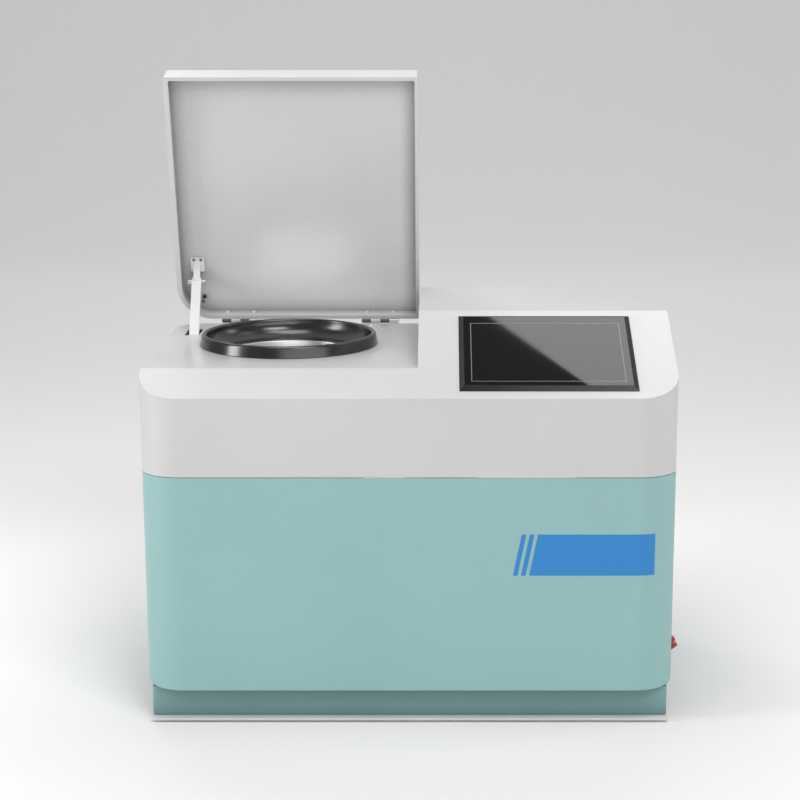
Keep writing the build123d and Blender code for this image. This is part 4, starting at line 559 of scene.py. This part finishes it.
def lift(mesh: BMesh, faces: list[Face], height: float) -> list[Face]:
    """Extrudes faces along the working plane's Z.

    Args:
        mesh: Mesh that the faces are in.
        faces: Faces to extrude. They stay as the lower end.
        height: How far they are raised.

    Returns:
        The faces of the raised end.
    """
    grown = ops.extrude_face_region(mesh, geom=faces, use_keep_orig=True)["geom"]
    ops.translate(mesh, vec=(0, 0, height), verts=verts_in(grown))
    return [f for f in grown if isinstance(f, Face)]


def slab(mesh: BMesh, centre: Sequence[float], size: Sequence[float], height: float,
         corner: float = 0.0, segments: int = 6, rear: float | None = None) -> list[Face]:
    """Adds a flat rectangle with rounded corners and raises it.

    Args:
        mesh: Mesh to add to, in the working plane's millimetres.
        centre: X, Y and Z of the rectangle's middle.
        size: Width and depth.
        height: How far it is raised.
        corner: Radius of its corners.
        segments: Segments of each corner.
        rear: Radius of the two corners on the far side, or None for the same.

    Returns:
        The faces of the raised end.
    """
    made = ops.create_grid(mesh, x_segments=1, y_segments=1, size=0.5)["verts"]
    ops.scale(mesh, vec=(size[0], size[1], 1.0), verts=made)
    ops.translate(mesh, vec=centre, verts=made)
    face = made[0].link_faces[0]
    far = [v for v in made if v.co.y > centre[1]]
    near = [v for v in made if v.co.y < centre[1]]
    for corners, radius in ((far, corner if rear is None else rear), (near, corner)):
        if radius:
            bevel = ops.bevel(mesh, geom=corners, offset=radius, segments=segments, profile=0.5,
                              affect="VERTICES", clamp_overlap=False, material=-1)
            face = next(f for f in bevel["verts"][0].link_faces)
    return lift(mesh, [face], height)


def round_edges(mesh: BMesh, width: float, segments: int = 3, sharper: float = 28.0,
                keep: Callable[[bmesh.types.BMEdge], bool] | None = None) -> None:
    """Rounds the sharp edges of a mesh.

    Args:
        mesh: Mesh to round.
        width: Size of the rounding, in the mesh's own unit.
        segments: Segments across the rounding.
        sharper: Only edges that turn by more than this many degrees.
        keep: Test of an edge, or None for all sharp edges.
    """
    chosen = [e for e in mesh.edges if len(e.link_faces) == 2
              and e.calc_face_angle(0.0) > math.radians(sharper) and (keep is None or keep(e))]
    ops.bevel(mesh, geom=chosen, offset=width, segments=segments, profile=0.5, affect="EDGES",
              clamp_overlap=True, material=-1)


def node_copy(name: str) -> BMesh:
    """A merged copy of a CAD node's mesh, with its flat faces made whole.

    Args:
        name: The node's name.

    Returns:
        The copy.
    """
    mesh = bmesh.new()
    mesh.from_mesh(frame["nodes"][name].data)
    ops.remove_doubles(mesh, verts=mesh.verts, dist=WELD)
    ops.dissolve_degenerate(mesh, edges=mesh.edges, dist=WELD)
    ops.dissolve_limit(mesh, angle_limit=math.radians(FLAT_DEGREES), verts=mesh.verts, edges=mesh.edges)
    return mesh


def turned(mesh: BMesh, corners: Sequence[Pair], rounds: dict[int, float],
           steps: int = 128, trim: float | None = None) -> None:
    """Turns a closed profile about the working plane's Z.

    Args:
        mesh: Mesh to fill.
        corners: Radius and height of the profile's corners.
        rounds: Radius of the rounding at some corners, by index.
        steps: Steps round the axis.
        trim: Radius inside which the profile is cut off, or None.
    """
    points = [mesh.verts.new((radius, 0.0, height)) for radius, height in corners]
    mesh.faces.new(points)
    for index, radius in rounds.items():
        ops.bevel(mesh, geom=[points[index]], offset=radius, segments=PROFILE_SEGMENTS, profile=0.5,
                  affect="VERTICES", clamp_overlap=False, material=-1)
    if trim is not None:
        ops.bisect_plane(mesh, geom=mesh.verts[:] + mesh.edges[:] + mesh.faces[:],
                         plane_co=(trim, 0, 0), plane_no=(1, 0, 0), clear_inner=True)
    ops.delete(mesh, geom=mesh.faces[:], context="FACES_ONLY")
    ops.spin(mesh, geom=mesh.verts[:] + mesh.edges[:], cent=(0, 0, 0), axis=(0, 0, 1),
             angle=2 * math.pi, steps=steps, use_merge=True)
    ops.remove_doubles(mesh, verts=mesh.verts, dist=0.0001)
    ops.recalc_face_normals(mesh, faces=mesh.faces)


def cut(body: BMesh, tool: BMesh) -> BMesh:
    """Cuts one mesh out of another.

    Args:
        body: Mesh that is cut. It is freed.
        tool: Mesh of what is taken away. It is freed.

    Returns:
        What is left.
    """
    pair = []
    for part, name in ((body, "cut_body"), (tool, "cut_tool")):
        data = bpy.data.meshes.new(name)
        part.to_mesh(data)
        part.free()
        pair.append(linked(name, data))
    modifier = pair[0].modifiers.new("cut", "BOOLEAN")
    modifier.operation = "DIFFERENCE"
    modifier.solver = "EXACT"
    modifier.object = pair[1]
    done = bpy.data.meshes.new_from_object(pair[0].evaluated_get(bpy.context.evaluated_depsgraph_get()))
    left = bmesh.new()
    left.from_mesh(done)
    bpy.data.meshes.remove(done)
    for holder in pair:
        bpy.data.meshes.remove(holder.data)
    return left


def publish(mesh: BMesh, name: str, finish: str, replaced: Sequence[str] = (),
            matrix: Matrix | None = None, body: str = "chassis", crease: float = 32.0) -> None:
    """Makes a finished piece of a mesh.

    Args:
        mesh: The mesh. It is freed.
        name: The piece's name.
        finish: Name of its finish.
        replaced: CAD nodes that it stands for.
        matrix: Matrix from the mesh's unit to the frame, or None for metres.
        body: The body it rides on.
        crease: Edges that turn by more than this many degrees stay sharp.
    """
    if matrix is not None:
        ops.transform(mesh, matrix=matrix, verts=mesh.verts)
    piece = smooth_object(mesh, name, FINISHES[finish].material())
    piece.data.set_sharp_from_angle(angle=math.radians(crease))
    weighted = piece.modifiers.new("weighted_normals", "WEIGHTED_NORMAL")
    weighted.keep_sharp = True
    weighted.weight = 60
    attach(piece, body)
    if replaced:
        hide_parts(*replaced)
    LOG.info("%s: %d faces", name, len(piece.data.polygons))


@dataclass
class Cabinet:
    """Teal shell on its plinth and base plate, with louvres, label and feet. Sizes in millimetres."""

    width: float = 600.0
    depth: float = 364.0
    corner: float = 45.0
    rear_corner: float = 36.0
    bottom: float = 40.0
    top: float = 288.0
    corner_segments: int = 18
    lower_edge: float = 1.6
    upper_edge: float = 0.5
    edge_band: float = 0.1
    wall: float = 1.5
    floor: float = 2.0
    louvre: Pair = (62.0, 4.0)
    louvre_flat: float = 0.04
    louvre_rows: int = 12
    louvre_pitch: float = 12.0
    louvre_step: float = 74.0
    louvre_middle: Pair = (85.0, 142.0)
    switch_hole: Quad = (-102.0, 70.3, 15.0, 22.0)
    rear_hole: Quad = (0.0, 161.0, 470.0, 202.0)
    hole_depth: float = 8.0
    hole_corner: float = 1.0
    base_size: Pair = (587.0, 354.0)
    base_bottom: float = 2.5
    base_top: float = 5.5
    base_corner: float = 3.0
    base_edge: float = 0.6
    plinth_size: Pair = (586.0, 334.0)
    plinth_edge: float = 0.4
    foot: Pair = (16.0, 2.5)
    foot_edge: float = 0.3
    foot_spacing: Pair = (500.0, 270.0)
    groove_share: float = 0.45
    groove_width: float = 0.8
    groove_depth: float = 0.9
    label: Quad = (133.8, 274.5, 176.0, 223.5)
    label_lean: float = 9.5
    label_depth: float = 0.3
    label_edge: float = 0.12
    label_cuts: int = 10
    label_cut_step: float = 2.0
    bar_width: float = 5.0
    bar_step: float = 9.0

    def shell(self) -> None:
        """Folded shell with a rounded lower edge, louvres, and openings for rear panel and switch."""
        mesh = bmesh.new()
        slab(mesh, (0, 0, self.bottom), (self.width, self.depth), self.top - self.bottom, self.corner,
             self.corner_segments, self.rear_corner)
        low = self.bottom + self.edge_band
        high = self.top - self.edge_band
        round_edges(mesh, self.lower_edge, 3, keep=lambda e: all(v.co.z < low for v in e.verts))
        round_edges(mesh, self.upper_edge, 2, keep=lambda e: all(v.co.z > high for v in e.verts))
        hollow = bmesh.new()
        inside = (self.width - 2 * self.wall, self.depth - 2 * self.wall)
        slab(hollow, (0, 0, self.bottom + self.floor), inside, self.top, self.corner - self.wall,
             self.corner_segments, self.rear_corner - self.wall)
        mesh = cut(cut(mesh, hollow), self.louvres())
        for width, height, place, plane in self.openings():
            tool = bmesh.new()
            slab(tool, place, (width, height), self.hole_depth, self.hole_corner, 3)
            ops.transform(tool, matrix=local(plane), verts=tool.verts)
            mesh = cut(mesh, tool)
        publish(mesh, "cabinet_shell", "paint_teal", ["lower_cabinet"], FLOOR)

    def louvres(self) -> BMesh:
        """Makes the slots of both sides.

        Returns:
            One mesh to cut away.
        """
        tool = bmesh.new()
        middle_y, middle_z = self.louvre_middle
        for row in range(self.louvre_rows):
            height = middle_z + (row - (self.louvre_rows - 1) / 2) * self.louvre_pitch
            for step in (-0.5, 0.5):
                slab(tool, (middle_y + step * self.louvre_step, height, -1), self.louvre, self.width + 2,
                     (self.louvre[1] - self.louvre_flat) / 2, 5)
        side = place_matrix((-self.width / 2, 0, 0), (0, 1, 0), (1, 0, 0))
        ops.transform(tool, matrix=local(side), verts=tool.verts)
        return tool

    def openings(self) -> list[tuple[float, float, Triple, Matrix]]:
        """Lists the plain openings.

        Returns:
            The width, height, place and working plane of each.
        """
        x, z, width, height = self.rear_hole
        y, switch_z, switch_width, switch_height = self.switch_hole
        rear = place_matrix((0, self.depth / 2, 0), (-1, 0, 0), (0, 1, 0))
        side = place_matrix((self.width / 2, 0, 0), (0, 1, 0), (1, 0, 0))
        start = -self.hole_depth / 2
        return [(width, height, (-x, z, start), rear),
                (switch_width, switch_height, (y, switch_z, start), side)]

    def plinth(self) -> None:
        """Recessed plinth of folded sheet."""
        mesh = bmesh.new()
        slab(mesh, (0, 0, self.base_top), self.plinth_size, self.bottom - self.base_top, self.base_corner, 5)
        round_edges(mesh, self.plinth_edge, 2, sharper=60.0)
        # The plinth takes the darker copy of the teal, which is painted shade.
        publish(mesh, "plinth_band", "plinth_teal_shaded", ["plinth"], FLOOR)

    def base(self) -> None:
        """Base plate with broken edges."""
        mesh = bmesh.new()
        thickness = self.base_top - self.base_bottom
        slab(mesh, (0, 0, self.base_bottom), self.base_size, thickness, self.base_corner, 5)
        round_edges(mesh, self.base_edge, 3, sharper=60.0)
        publish(mesh, "base_plate_dressed", "plate_grey", ["base_plate"], FLOOR)

    def feet(self) -> None:
        """Rubber feet, each with a moulded groove round its edge."""
        mesh = bmesh.new()
        radius, height = self.foot
        places = [(side, end) for side in (-0.5, 0.5) for end in (-0.5, 0.5)] + [(0.0, 0.0)]
        for side, end in places:
            place = Matrix.Translation((side * self.foot_spacing[0], end * self.foot_spacing[1], height / 2))
            ops.create_cone(mesh, cap_ends=True, segments=48, radius1=radius, radius2=radius,
                            depth=height, matrix=place)
        low = [f for f in mesh.faces if f.normal.z < -0.9]
        ops.inset_individual(mesh, faces=low, thickness=radius * self.groove_share, depth=0.0)
        ops.inset_individual(mesh, faces=low, thickness=self.groove_width, depth=-self.groove_depth)
        round_edges(mesh, self.foot_edge, 2, sharper=50.0)
        publish(mesh, "feet", "rubber_black", ["rubber_feet"], FLOOR)

    def wrap(self, mesh: BMesh) -> None:
        """Lays the flat film round the front right corner.

        Args:
            mesh: Film in the front's plane, with its depth along Z.
        """
        flat = self.width / 2 - self.corner
        for step in range(self.label_cuts):
            ops.bisect_plane(mesh, geom=mesh.verts[:] + mesh.edges[:] + mesh.faces[:],
                             plane_co=(flat + step * self.label_cut_step, 0, 0), plane_no=(1, 0, 0))
        for vert in mesh.verts:
            if vert.co.x > flat:
                turn = (vert.co.x - flat) / self.corner
                radius = self.corner + vert.co.z
                vert.co.x = flat + radius * math.sin(turn)
                vert.co.z = radius * math.cos(turn) - self.corner

    def film(self) -> None:
        """Slanted block of film with two slanted bars beside it."""
        left, right, low, high = self.label
        mesh = bmesh.new()
        shapes = [((left, low), (right, low), (right, high), (left + self.label_lean, high))]
        for step in (1, 2):
            start = left - step * self.bar_step
            end = start + self.bar_width
            shapes.append(((start, low), (end, low), (end + self.label_lean, high),
                           (start + self.label_lean, high)))
        for shape in shapes:
            mesh.faces.new([mesh.verts.new((x, z, 0.0)) for x, z in shape])
        lift(mesh, mesh.faces[:], self.label_depth)
        round_edges(mesh, self.label_edge, 2, sharper=50.0)
        self.wrap(mesh)
        front = place_matrix((0, -self.depth / 2, 0), (1, 0, 0), (0, -1, 0))
        publish(mesh, "front_film", "film_blue", ["front_label"], front)

    def build(self) -> None:
        """Builds every piece of the cabinet."""
        for step in (self.shell, self.plinth, self.base, self.feet, self.film):
            step()


@dataclass
class Head:
    """Grey cover with deck, slope and console. Sizes in metres."""

    fold: float = 0.0015
    rim: float = 0.2895
    chamber: Triple = (-0.147, 0.0337, 0.102)
    stay_slot: Quad = (-0.282, -0.2625, 0.091, 0.142)
    panel_hole: Quad = (0.06, 0.25, -0.165, -0.02)
    back: Pair = (0.1804, 0.395)

    def is_fold(self, edge: bmesh.types.BMEdge) -> bool:
        """Tells a fold of the cover from the edge of an opening or of the open underside.

        Args:
            edge: Edge of the cover's mesh.

        Returns:
            Whether it is a fold.
        """
        middle = (edge.verts[0].co + edge.verts[1].co) / 2
        x, y, radius = self.chamber
        in_chamber = math.hypot(middle.x - x, middle.y - y) < radius
        in_opening = any(left < middle.x < right and front < middle.y < rear
                         for left, right, front, rear in (self.stay_slot, self.panel_hole))
        on_back = middle.y > self.back[0] and middle.z < self.back[1]
        return middle.z > self.rim and not (in_chamber or in_opening or on_back)

    def build(self) -> None:
        """Builds the cover."""
        mesh = node_copy("head_cover")
        round_edges(mesh, self.fold, 4, 15.0, self.is_fold)
        publish(mesh, "head_cover_dressed", "paint_grey", ["head_cover"], crease=40.0)


@dataclass
class TouchPanel:
    """Touch panel on the slope: bevelled frame, dark glass with a printed border line."""

    origin: Triple = (154.85, -182.0, 377.5)
    slope: float = 23.75
    middle: float = 89.0
    size: Pair = (198.0, 151.0)
    bevel: float = 5.4
    lip: float = 0.3
    height: float = 4.2
    rim: float = 0.6
    edge: float = 0.22
    wall: float = 0.02
    sink: float = 0.4
    drop: float = 0.4
    glass: float = 3.0
    glass_edge: float = 0.2
    film: float = 0.01
    line_film: float = 0.02
    line_side: float = 8.1
    line_low: float = 8.5
    line_high: float = 14.3
    line: float = 0.9
    line_area: float = 1000.0
    display_inset: float = 2.8

    def plane(self) -> Matrix:
        """Finds the working plane in the middle of the panel, on the slope.

        Returns:
            Its matrix.
        """
        turn = math.radians(self.slope)
        normal = Vector((0.0, -math.sin(turn), math.cos(turn)))
        along = Vector((0.0, math.cos(turn), math.sin(turn)))
        return place_matrix(Vector(self.origin) + along * self.middle, (1, 0, 0), normal)

    def bezel(self) -> None:
        """Frame with a broad outer bevel and a narrow lip."""
        mesh = bmesh.new()
        top = slab(mesh, (0, 0, 0), self.size, self.rim)
        sunk = -self.drop - self.sink
        for inset, rise in ((self.bevel, self.height - self.rim), (self.lip, 0.0), (self.wall, sunk)):
            ops.inset_region(mesh, faces=top, thickness=inset, depth=0.0, use_even_offset=True)
            ops.translate(mesh, vec=(0, 0, rise), verts=[v for f in top for v in f.verts])
        round_edges(mesh, self.edge, 3, 15.0, lambda e: all(v.co.z > self.rim / 2 for v in e.verts))
        publish(mesh, "touch_frame", "plastic_black", ["touch_bezel"], self.plane(), crease=40.0)

    def inner(self) -> Pair:
        """Width and height of the glass."""
        return tuple(side - 2 * (self.bevel + self.lip) for side in self.size)

    def framed(self, mesh: BMesh, bottom: float, rise: float,
               grow: float) -> list[Face]:
        """Adds a slab that fills the printed border, made larger by grow on every side.

        Args:
            mesh: Mesh to add to.
            bottom: Height of its underside.
            rise: Its thickness.
            grow: How far it reaches past the border's inner edge.

        Returns:
            Its upper faces.
        """
        width, height = self.inner()
        size = (width - 2 * self.line_side + 2 * grow, height - self.line_low - self.line_high + 2 * grow)
        return slab(mesh, (0, (self.line_low - self.line_high) / 2, bottom), size, rise)

    def pane(self) -> None:
        """Glass pane with smoothed edges."""
        mesh = bmesh.new()
        slab(mesh, (0, 0, self.height - self.drop - self.glass), self.inner(), self.glass)
        ops.recalc_face_normals(mesh, faces=mesh.faces)
        round_edges(mesh, self.glass_edge, 2, sharper=50.0)
        publish(mesh, "touch_pane", "screen_black", ["touch_glass"], self.plane())

    def display(self) -> None:
        """Display area, a film a little lighter than the glass round it."""
        mesh = bmesh.new()
        self.framed(mesh, self.height - self.drop, self.film, -self.display_inset)
        ops.recalc_face_normals(mesh, faces=mesh.faces)
        publish(mesh, "touch_display", "screen_display", (), self.plane())

    def border(self) -> None:
        """Thin printed line round the display area."""
        mesh = bmesh.new()
        top = self.framed(mesh, self.height - self.drop, self.line_film, self.line / 2)
        ops.inset_region(mesh, faces=top, thickness=self.line, depth=0.0, use_even_offset=True)
        middle = [f for f in mesh.faces if f.calc_area() > self.line_area]
        ops.delete(mesh, geom=middle, context="FACES")
        ops.recalc_face_normals(mesh, faces=mesh.faces)
        publish(mesh, "touch_border", "printed_line", (), self.plane())

    def build(self) -> None:
        """Builds every piece of the panel."""
        for step in (self.bezel, self.pane, self.display, self.border):
            step()


@dataclass
class Chamber:
    """Glossy collar on the deck and the bowl below it, with the bowl's hole for the seal. Sizes in
    millimetres, about the drive axis.
    """

    axis: Pair = (-147.0, 33.7)
    deck: float = 401.0
    outer: float = 106.5
    crest: float = 101.0
    tube: float = 2.8
    lean: float = 0.2
    foot: float = 1.0
    foot_edge: float = 0.4
    height: float = 14.0
    funnel_low: float = 392.0
    funnel_end: float = 82.0
    sweep: float = 20.7
    steps: int = 160
    flange: float = 98.0
    throat: float = 390.5
    bowl: float = 80.0
    wall: float = 1.2
    bowl_floor: float = 262.0
    bowl_corner: float = 6.0
    bowl_lip: float = 1.0
    seal_hole: float = 14.0

    def plane(self) -> Matrix:
        """Working plane on the drive axis."""
        return place_matrix((*self.axis, 0), (1, 0, 0), (0, 0, 1))

    def ring(self) -> None:
        """Collar: leaning outer wall, rounded crest, funnel that sweeps in to the bowl."""
        mesh = bmesh.new()
        top = self.deck + self.height
        inner = self.crest - self.tube
        end = inner - self.sweep
        corners = [(self.outer, self.deck), (self.outer, self.deck + self.foot),
                   (self.crest + self.tube + self.lean, top), (inner, top), (inner, self.funnel_low),
                   (end, self.funnel_low), (end, self.throat), (self.flange, self.throat),
                   (self.flange, self.deck)]
        rounds = {2: self.tube, 3: self.tube * 0.95, 4: self.sweep - 0.2}
        turned(mesh, corners, rounds, self.steps, self.funnel_end)
        round_edges(mesh, self.foot_edge, 2, sharper=50.0)
        publish(mesh, "chamber_collar", "ring_gloss", ["chamber_ring"], self.plane(), crease=50.0)

    def bowl_piece(self) -> None:
        """Drawn bowl with a rolled flange."""
        mesh = bmesh.new()
        out = self.bowl + self.wall
        low = self.throat - self.wall
        under = self.bowl_floor - self.wall
        corners = [(self.seal_hole, self.bowl_floor), (self.bowl, self.bowl_floor), (self.bowl, self.throat),
                   (self.flange, self.throat), (self.flange, low), (out, low), (out, under),
                   (self.seal_hole, under)]
        turned(mesh, corners, {1: self.bowl_corner, 6: self.bowl_corner + self.wall, 2: self.bowl_lip})
        publish(mesh, "bowl_dressed", "stainless", ["chamber_bowl"], self.plane(), crease=50.0)

    def build(self) -> None:
        """Builds every piece of the chamber."""
        self.ring()
        self.bowl_piece()


class Body(Enum):
    """Moving bodies of the frame."""

    CHASSIS = "chassis"
    LID = "lid"
    STAY = "stay"
    SWITCH = "switch"
    WOBBLER = "wobbler"
    KNOB = "knob"


@dataclass(frozen=True)
class Part:
    """A CAD node whose own shape is kept and whose edges are rounded, by a width in millimetres."""

    node: str
    body: Body
    finish: str
    width: float
    segments: int = 2

    def build(self) -> None:
        """Builds the dressed piece."""
        mesh = node_copy(self.node)
        round_edges(mesh, self.width * MM, self.segments)
        publish(mesh, self.node + "_dressed", self.finish, [self.node], body=self.body.value)


@dataclass
class Fittings:
    """A sub-assembly whose pieces all keep their CAD shape."""

    parts: tuple[Part, ...] = ()

    def build(self) -> None:
        """Builds every piece."""
        for part in self.parts:
            part.build()


@dataclass
class Lid(Fittings):
    """Open lid: folded shell, inner tray, magnet, screws and its half of the hinges and stay."""

    parts: tuple[Part, ...] = (
        Part("lid_shell", Body.LID, "paint_grey", 0.6, 3),
        Part("lid_liner", Body.LID, "liner_grey", 0.5, 2),
        Part("lid_magnet", Body.LID, "plastic_dark", 0.3),
        Part("hinge_lid_leaves", Body.LID, "steel_dark", 0.2),
        Part("hinge_lid_screws", Body.LID, "steel_screw", 0.15),
        Part("stay_bracket", Body.LID, "paint_white", 0.3),
        # The bracket screws take the darker screw finish, painted shade of their recesses.
        Part("bracket_screws", Body.LID, "screw_shaded", 0.2),
        Part("stay_pin", Body.LID, "steel_polished", 0.25),
    )


@dataclass
class Hardware(Fittings):
    """Hinges, stay, switch, rear panels and clamp."""

    parts: tuple[Part, ...] = (
        Part("hinge_base_leaves", Body.CHASSIS, "steel_plated", 0.2),
        Part("hinge_base_screws", Body.CHASSIS, "steel_screw", 0.15),
        Part("stay_arm", Body.STAY, "paint_white", 0.4),
        Part("switch_rocker", Body.SWITCH, "plastic_red", 0.5, 3),
        Part("switch_housing", Body.CHASSIS, "plastic_dark", 0.3),
        Part("rear_panel", Body.CHASSIS, "paint_teal", 0.25),
        Part("inlet_panel", Body.CHASSIS, "paint_teal", 0.25),
        Part("rear_panel_screws", Body.CHASSIS, "steel_screw", 0.15),
        Part("power_inlet", Body.CHASSIS, "plastic_dark", 0.3),
        Part("clamp_knob", Body.KNOB, "plastic_dark", 0.6, 3),
        Part("clamp_plate", Body.WOBBLER, "aluminium", 0.4),
        Part("carrier_plate", Body.WOBBLER, "aluminium", 0.4),
    )


@dataclass(frozen=True)
class SoftBox:
    """Rectangular soft lamp. A radiance of 1 is white, and its size and place are in metres."""

    name: str
    place: Triple
    target: Triple
    size: Pair
    radiance: float
    turn: float = 0.0
    spread: float = 180.0

    def build(self) -> None:
        """Hangs the lamp."""
        data = bpy.data.lights.new(self.name, "AREA")
        data.shape = "RECTANGLE"
        data.size, data.size_y = self.size
        data.energy = self.radiance * math.pi * self.size[0] * self.size[1]
        data.spread = math.radians(self.spread)
        holder = linked(self.name, data)
        look = (Vector(self.target) - Vector(self.place)).to_track_quat("-Z", "Y")
        holder.rotation_mode = "QUATERNION"
        holder.rotation_quaternion = look @ Matrix.Rotation(math.radians(self.turn), 4, "Z").to_quaternion()
        holder.location = self.place
        holder.visible_camera = False


@dataclass
class Studio:
    """Camera, pale sweep and soft light. Sizes in metres."""

    camera_place: Triple = (0.036526, -2.147922, 0.782492)
    camera_turn: float = 77.692
    lens: float = 82.76
    shift: Pair = (-0.0522, 0.025)
    floor_front: float = -12.0
    floor_rear: float = 5.5
    bend: float = 1.5
    wall: float = 6.0
    half_width: float = 9.0
    board_near: Colour = (0.915, 0.893, 0.895)
    board_far: Colour = (0.845, 0.845, 0.845)
    near_glow: float = 0.185
    far_glow: float = 0.16
    air: float = 0.25
    lamps: tuple[SoftBox, ...] = (
        SoftBox("mirror_card", (0.514, 1.340, 2.4), (0.514, 1.340, 0.0), (0.75, 0.6), 3.4, -40.3),
        SoftBox("key_right", (1.0, -2.2, 2.7), (0.0, 0.0, 0.3), (1.5, 0.8), 6.4),
        SoftBox("high_front", (0.0, -0.9, 3.0), (0.0, 0.0, 0.3), (2.0, 1.0), 2.9),
        SoftBox("front_strip", (1.2, -3.0, 0.95), (0.0, 0.0, 0.4), (3.8, 0.35), 3.2),
        SoftBox("left_strip", (-2.2, -0.7, 0.9), (-0.3, -0.1, 0.3), (0.6, 1.5), 6.8),
        SoftBox("right_strip", (2.3, 0.5, 1.1), (0.3, 0.0, 0.3), (0.6, 1.2), 2.0),
        SoftBox("bowl_box", (-0.15, 0.0, 2.6), (-0.147, 0.034, 0.4), (0.7, 0.7), 4.0),
        SoftBox("rear_left_top", (-0.9, 1.5, 2.3), (0.0, 0.1, 0.42), (0.9, 0.7), 5.0),
        SoftBox("bowl_bounce", (-0.147, 0.05, 0.395), (-0.147, 0.21, 0.49), (0.12, 0.06), 0.5, spread=85.0),
        SoftBox("right_top", (1.6, 0.2, 2.3), (0.15, 0.1, 0.42), (0.8, 0.8), 1.2),
        SoftBox("rear_wash", (0.0, 4.6, 4.5), (0.0, 5.2, 0.0), (6.0, 2.0), 0.9),
    )

    def camera(self) -> None:
        """Camera at the photograph's place and angle."""
        data = bpy.data.cameras.new("studio_camera")
        data.lens = self.lens
        data.sensor_width = 36.0
        data.shift_x, data.shift_y = self.shift
        data.clip_end = 60.0
        holder = linked("studio_camera", data)
        holder.location = self.camera_place
        holder.rotation_euler = (math.radians(self.camera_turn), 0.0, 0.0)
        bpy.context.scene.camera = holder

    def sweep(self) -> None:
        """Floor that curves up into a backdrop."""
        mesh = bmesh.new()
        profile = [(self.floor_front, 0.0), (self.floor_rear, 0.0), (self.floor_rear, self.wall)]
        points = [mesh.verts.new((-self.half_width, y, z)) for y, z in profile]
        edges = [mesh.edges.new(pair) for pair in zip(points, points[1:])]
        grown = ops.extrude_edge_only(mesh, edges=edges)["geom"]
        ops.translate(mesh, vec=(2 * self.half_width, 0, 0), verts=verts_in(grown))
        round_edges(mesh, self.bend, 24, sharper=60.0)
        ops.recalc_face_normals(mesh, faces=mesh.faces)
        piece = smooth_object(mesh, "studio_sweep", self.sweep_material())

    def sweep_material(self) -> bpy.types.Material:
        """Matt pale board painted lighter near and darker far back, with a glow, even far back and left off
        round the machine, which lights nothing.

        Returns:
            The new material.
        """
        made = bpy.data.materials.new("studio_board")
        board = blank_board(made)
        x, y, _ = board.add("SeparateXYZ", Vector=board.place()).outputs
        # Painted light: the board's colour is lighter near the machine and darker far back, standing in for
        # the fall of light.
        tone = board.mix(board.ramp(y, 0.2, 1.5), self.board_near, self.board_far)
        # The near glow is left off round the machine, where its real shadow lies.
        near = board.math("MULTIPLY", board.ramp(board.distance(x, y), 0.3, 0.8),
                          board.ramp(y, -0.4, 1.0, self.near_glow, 0.0))
        glow = board.math("MAXIMUM", near, board.ramp(y, 1.4, 3.6, 0.0, self.far_glow))
        paths = board.add("LightPath").outputs
        seen = board.math("ADD", paths["Is Camera Ray"], paths["Is Glossy Ray"])
        seen = board.math("ADD", seen, paths["Is Transmission Ray"], clamp=True)
        matt = board.add("BsdfDiffuse", Color=tone, Roughness=0.6)
        extra = board.add("Emission", Color=WHITE, Strength=board.math("MULTIPLY", seen, glow))
        both = board.add("AddShader", None, matt.outputs[0], extra.outputs[0])
        board.add("OutputMaterial", Surface=both.outputs[0])
        return made

    def world(self) -> None:
        """Even pale surroundings."""
        world = bpy.data.worlds.new("studio_air")
        bpy.context.scene.world = world
        board = blank_board(world)
        air = board.add("Background", Color=WHITE, Strength=self.air)
        board.add("OutputWorld", Surface=air.outputs[0])

    def build(self) -> None:
        """Builds the studio."""
        for step in (self.camera, self.sweep, self.world):
            step()
        for lamp in self.lamps:
            lamp.build()


def dress_nodes() -> None:
    """Gives each CAD node that stays in view the finish of its slot."""
    slots = {part["node"]: part["material_slot"] for part in frame["record"]["subparts"]}
    for name, node in frame["nodes"].items():
        material = FINISHES[slots[name]].material()
        if not node.material_slots:
            node.data.materials.append(material)
        for slot in node.material_slots:
            slot.material = material


def main() -> None:
    """Builds the dressed mill and its studio."""
    logging.basicConfig(level=logging.INFO, format="%(name)s: %(message)s")
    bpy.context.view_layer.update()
    bpy.context.scene.view_settings.view_transform = "Standard"
    Studio().build()
    dress_nodes()
    for unit in (Cabinet(), Head(), TouchPanel(), Chamber(), Lid(), Hardware()):
        LOG.info("building %s", type(unit).__name__)
        unit.build()


if __name__ == "__main__":
    main()
